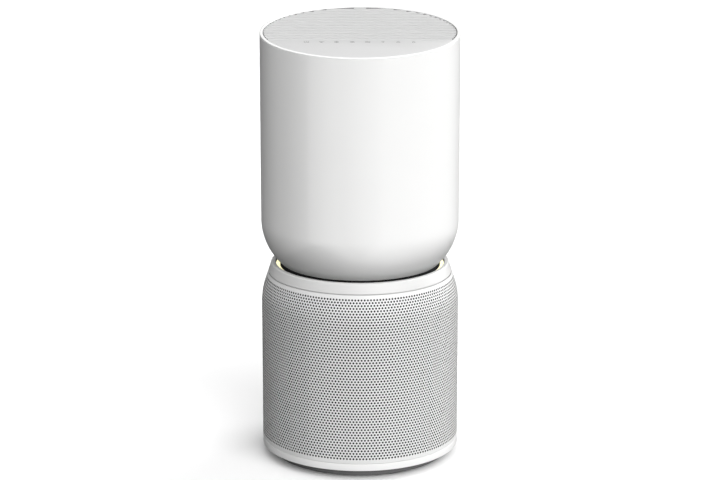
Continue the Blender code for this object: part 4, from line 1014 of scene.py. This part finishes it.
# Folded paper: a ring of points stepping in and out, drawn up to the height of the cartridge.
def buildPleats(graph, value):
    ring = graph.add("GeometryNodeMeshCircle", None, {"Vertices": value["Folds"] * 4, "Radius": 1.0})
    index = graph.add("GeometryNodeInputIndex")
    step = graph.add("ShaderNodeMath", {"operation": "MODULO"}, {"Value": index, "Value_001": 4.0})
    radius = value["Inner"] + (value["Outer"] - value["Inner"]) * (step > 1.5)
    where = graph.add("ShaderNodeVectorMath", {"operation": "SCALE"}, {
        "Vector": graph.add("GeometryNodeInputPosition"), "Scale": radius})
    up = graph.add("ShaderNodeCombineXYZ", None, {"Z": value["Low"]})
    ring = graph.add("GeometryNodeSetPosition", None, {"Geometry": ring, "Position": where, "Offset": up})
    rise = graph.add("ShaderNodeCombineXYZ", None, {"Z": value["High"] - value["Low"]})
    return graph.add("GeometryNodeExtrudeMesh", {"mode": "EDGES"},
                     {"Mesh": ring, "Offset": rise, "Offset Scale": 1.0})


def makePleats():
    bm = bmesh.new()
    addMesh(bm, growTree("pleatRing", pleatSizes, buildPleats, "filterPaper"))
    bmesh.ops.remove_doubles(bm, verts=bm.verts, dist=0.01 * mm)
    bmesh.ops.recalc_face_normals(bm, faces=bm.faces)
    bmesh.ops.solidify(bm, geom=list(bm.faces), thickness=0.45 * mm)
    return place("filterPleats", bm, "filterPaper", ["filter_media"], "filter")


makePleats()

tabSizes = {"across": 84, "along": 18, "thick": 0.72, "seams": (10.0, 12.2), "seamWidth": 0.45,
            "seamDepth": 0.22, "ripple": 0.006, "rise": 0.1}


# Pull tab: a flat tape with two sewn lines across each end.
def makeTab():
    low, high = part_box("filter_pull_tab")
    bm = bmesh.new()
    across, along = tabSizes["across"], tabSizes["along"]
    thick = (high.z - low.z) * tabSizes["thick"]

    def tapeHigh(x, y, top):
        seam = sum(math.exp(-((abs(x) - spot) / tabSizes["seamWidth"]) ** 2) for spot in tabSizes["seams"])
        ripple = tabSizes["ripple"] * math.sin(y * 1.3) * math.sin(x * 0.7)
        dip = tabSizes["seamDepth"] * seam * (1 if top else -0.3)
        return low.z + (thick if top else 0) + (ripple - dip + tabSizes["rise"]) * mm

    def tapeVert(i, j, top):
        x, y = low.x + (high.x - low.x) * i / across, low.y + (high.y - low.y) * j / along
        return bm.verts.new((x, y, tapeHigh(x / mm, y / mm, top)))

    sheets = [[[tapeVert(i, j, top) for j in range(along + 1)] for i in range(across + 1)]
              for top in (True, False)]
    for sheet in sheets:
        for i in range(across):
            for j in range(along):
                bm.faces.new((sheet[i][j], sheet[i + 1][j], sheet[i + 1][j + 1], sheet[i][j + 1]))
    rim = [(i, 0) for i in range(across)] + [(across, j) for j in range(along)]
    rim += [(i, along) for i in range(across, 0, -1)] + [(0, j) for j in range(along, 0, -1)]
    for index, (i, j) in enumerate(rim):
        k, m = rim[(index + 1) % len(rim)]
        bm.faces.new((sheets[0][i][j], sheets[0][k][m], sheets[1][k][m], sheets[1][i][j]))
    return place("filterPullTab", bm, "tabTape", ["filter_pull_tab"], "filter")


makeTab()
seatLow, seatHigh = span("filter_seat")
turned("filterSeat", [
    (100.2, seatHigh, 0.6), (100.2, seatLow, 0.6), (0, seatLow), (0, seatHigh), (28, seatHigh),
    (28.5, seatHigh - 1.0), (84, seatHigh - 1.0), (84.5, seatHigh)],
    "innerGrey", ["filter_seat"], "filter_seat")
print("filter made")

refineSizes = {"merge": 0.005 * mm, "flat": math.radians(1.0), "corner": 0.7, "sharp": 38}


# Inner pieces keep their CAD shape, with merged faces, softened edges and a finish of their own.
def refined(node, material, body, soft):
    bm = bmesh.new()
    bm.from_mesh(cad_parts[node].data)
    bmesh.ops.remove_doubles(bm, verts=bm.verts, dist=refineSizes["merge"])
    bmesh.ops.dissolve_limit(bm, angle_limit=refineSizes["flat"], verts=bm.verts, edges=bm.edges)
    bm.normal_update()
    edges = [edge for edge in bm.edges
             if len(edge.link_faces) == 2 and edge.calc_face_angle(0) > refineSizes["corner"]]
    if soft and edges:
        bmesh.ops.bevel(bm, geom=edges, offset=soft * mm, segments=1, profile=0.5, affect="EDGES",
                        clamp_overlap=True)
    name = "".join(part if index == 0 else part.capitalize() for index, part in enumerate(node.split("_")))
    return place(name, bm, material, [node], body, refineSizes["sharp"])


# Finish and edge softening, in millimetres, of each inner piece.
innerPieces = {
    "top_deck": ("innerGrey", 0.3), "fan_duct": ("innerGrey", 0.3), "motor_dome": ("innerGrey", 0.5),
    "bellmouth": ("innerGrey", 0.3), "finger_guard": ("innerGrey", 0.3), "filter_cage": ("innerGrey", 0.3),
    "power_bracket": ("innerGrey", 0.4), "motor_mount": ("zincSteel", 0.3),
    "bearing_lower": ("zincSteel", 0.3), "bearing_upper": ("zincSteel", 0.3),
    "motor_stator": ("copperWinding", 0.5), "motor_board": ("boardGreen", 0.1),
    "control_board": ("boardGreen", 0.1), "icon_light_guide": ("grilleWhite", 0.2),
    "light_board": ("boardGreen", 0.1), "power_board": ("boardGreen", 0.1),
    "power_transformer": ("copperWinding", 0.6), "power_capacitor": ("partBlack", 0.5),
    "dust_sensor": ("zincSteel", 0.5), "sensor_vent": ("shellWhite", 0.25),
    "power_inlet": ("partBlack", 0.3), "inlet_pin_left": ("zincSteel", 0.2),
    "inlet_pin_right": ("zincSteel", 0.2), "panel_lead": ("leadSleeve", 0.0),
    "inlet_lead": ("leadSleeve", 0.0),
}
innerPieces.update({"motor_screw_%d" % number: ("zincSteel", 0.15) for number in (1, 2, 3)})
innerPieces.update({"neck_screw_%d" % number: ("zincSteel", 0.15) for number in (1, 2, 3, 4)})
innerPieces.update({"lock_ledge_%d" % number: ("innerGrey", 0.0) for number in (1, 2, 3)})
spinningPieces = {"impeller": ("neckBlack", 0.2), "impeller_nut": ("zincSteel", 0.4),
                  "rotor_cup": ("zincSteel", 0.4)}
for node, (material, soft) in innerPieces.items():
    refined(node, material, "root", soft)
for node, (material, soft) in spinningPieces.items():
    refined(node, material, "impeller", soft)
print("inner pieces made:", len(innerPieces) + len(spinningPieces))


# Pale floor, soft lights and the camera.
def paintFloor(graph, place):
    cloud = graph.noise(place, 400 * mm, 3.0)
    return {"Base Color": graph.blend(cloud, tone((0.93, 0.93, 0.93)), tone((0.96, 0.96, 0.96))),
            "Roughness": 0.85 + cloud * 0.1}


def makeFloor():
    bm = bmesh.new()
    bmesh.ops.create_grid(bm, x_segments=8, y_segments=8, size=30.0)
    mesh = bpy.data.meshes.new("studioFloor")
    bm.to_mesh(mesh)
    bm.free()
    mesh.materials.append(finish("floorPaper", paintFloor, {"Specular IOR Level": 0.1}))
    floor = bpy.data.objects.new("studioFloor", mesh)
    scene.collection.objects.link(floor)
    floor.visible_diffuse = False
    floor.visible_glossy = False


makeFloor()

# Azimuth from the front, towards the right, and height above the floor, in degrees
studioLights = {
    "keyLight": {"azimuth": 24, "elevation": 30, "strength": 3.0, "angle": 60},
    "sideLight": {"azimuth": 122, "elevation": 22, "strength": 2.3, "angle": 50},
    "fillLight": {"azimuth": -110, "elevation": 14, "strength": 0.50, "angle": 60},
    "topLight": {"azimuth": -20, "elevation": 78, "strength": 0.10, "angle": 60},
    "lowLight": {"azimuth": 20, "elevation": -50, "strength": 1.0, "angle": 60},     # for looks from below
}
for name, light in studioLights.items():
    lamp = bpy.data.lights.new(name, "SUN")
    lamp.energy = light["strength"]
    lamp.angle = math.radians(light["angle"])
    azimuth, elevation = math.radians(light["azimuth"]), math.radians(light["elevation"])
    towards = Vector((math.sin(azimuth) * math.cos(elevation), -math.cos(azimuth) * math.cos(elevation),
                      math.sin(elevation)))
    holder = bpy.data.objects.new(name, lamp)
    holder.rotation_mode = "QUATERNION"
    holder.rotation_quaternion = towards.to_track_quat("Z", "Y")
    holder.location = towards * 3
    scene.collection.objects.link(holder)

world = bpy.data.worlds.new("studio")
scene.world = world
world.use_nodes = True
world.node_tree.nodes.clear()
graph = Graph(world.node_tree)
upwards = graph.split(graph.add("ShaderNodeTexCoord", out="Generated"), "Z")
sky = graph.blend(graph.mask(upwards, -0.15, 0.55), (0.02, 0.02, 0.02, 1), (0.62, 0.62, 0.62, 1))
graph.add("ShaderNodeOutputWorld", None, {"Surface": graph.add("ShaderNodeBackground", None, {
    "Color": sky, "Strength": 0.93})})

cameraSizes = {"from": (0.0, -3.2566, 1.1461), "at": (0.0, 0.0, 0.27346), "lens": 135.0}
camera = bpy.data.objects.new("camera", bpy.data.cameras.new("camera"))
camera.data.lens = cameraSizes["lens"]
camera.data.sensor_width = 36.0
camera.location = cameraSizes["from"]
camera.rotation_mode = "QUATERNION"
camera.rotation_quaternion = (Vector(cameraSizes["from"]) - Vector(cameraSizes["at"])).to_track_quat("Z", "Y")
camera.data.clip_start = 0.05
camera.data.clip_end = 60
scene.collection.objects.link(camera)
scene.camera = camera
scene.view_settings.view_transform = "Standard"
scene.view_settings.look = "None"
scene.view_settings.exposure = 0.0
scene.view_settings.gamma = 1.0
print("studio ready")
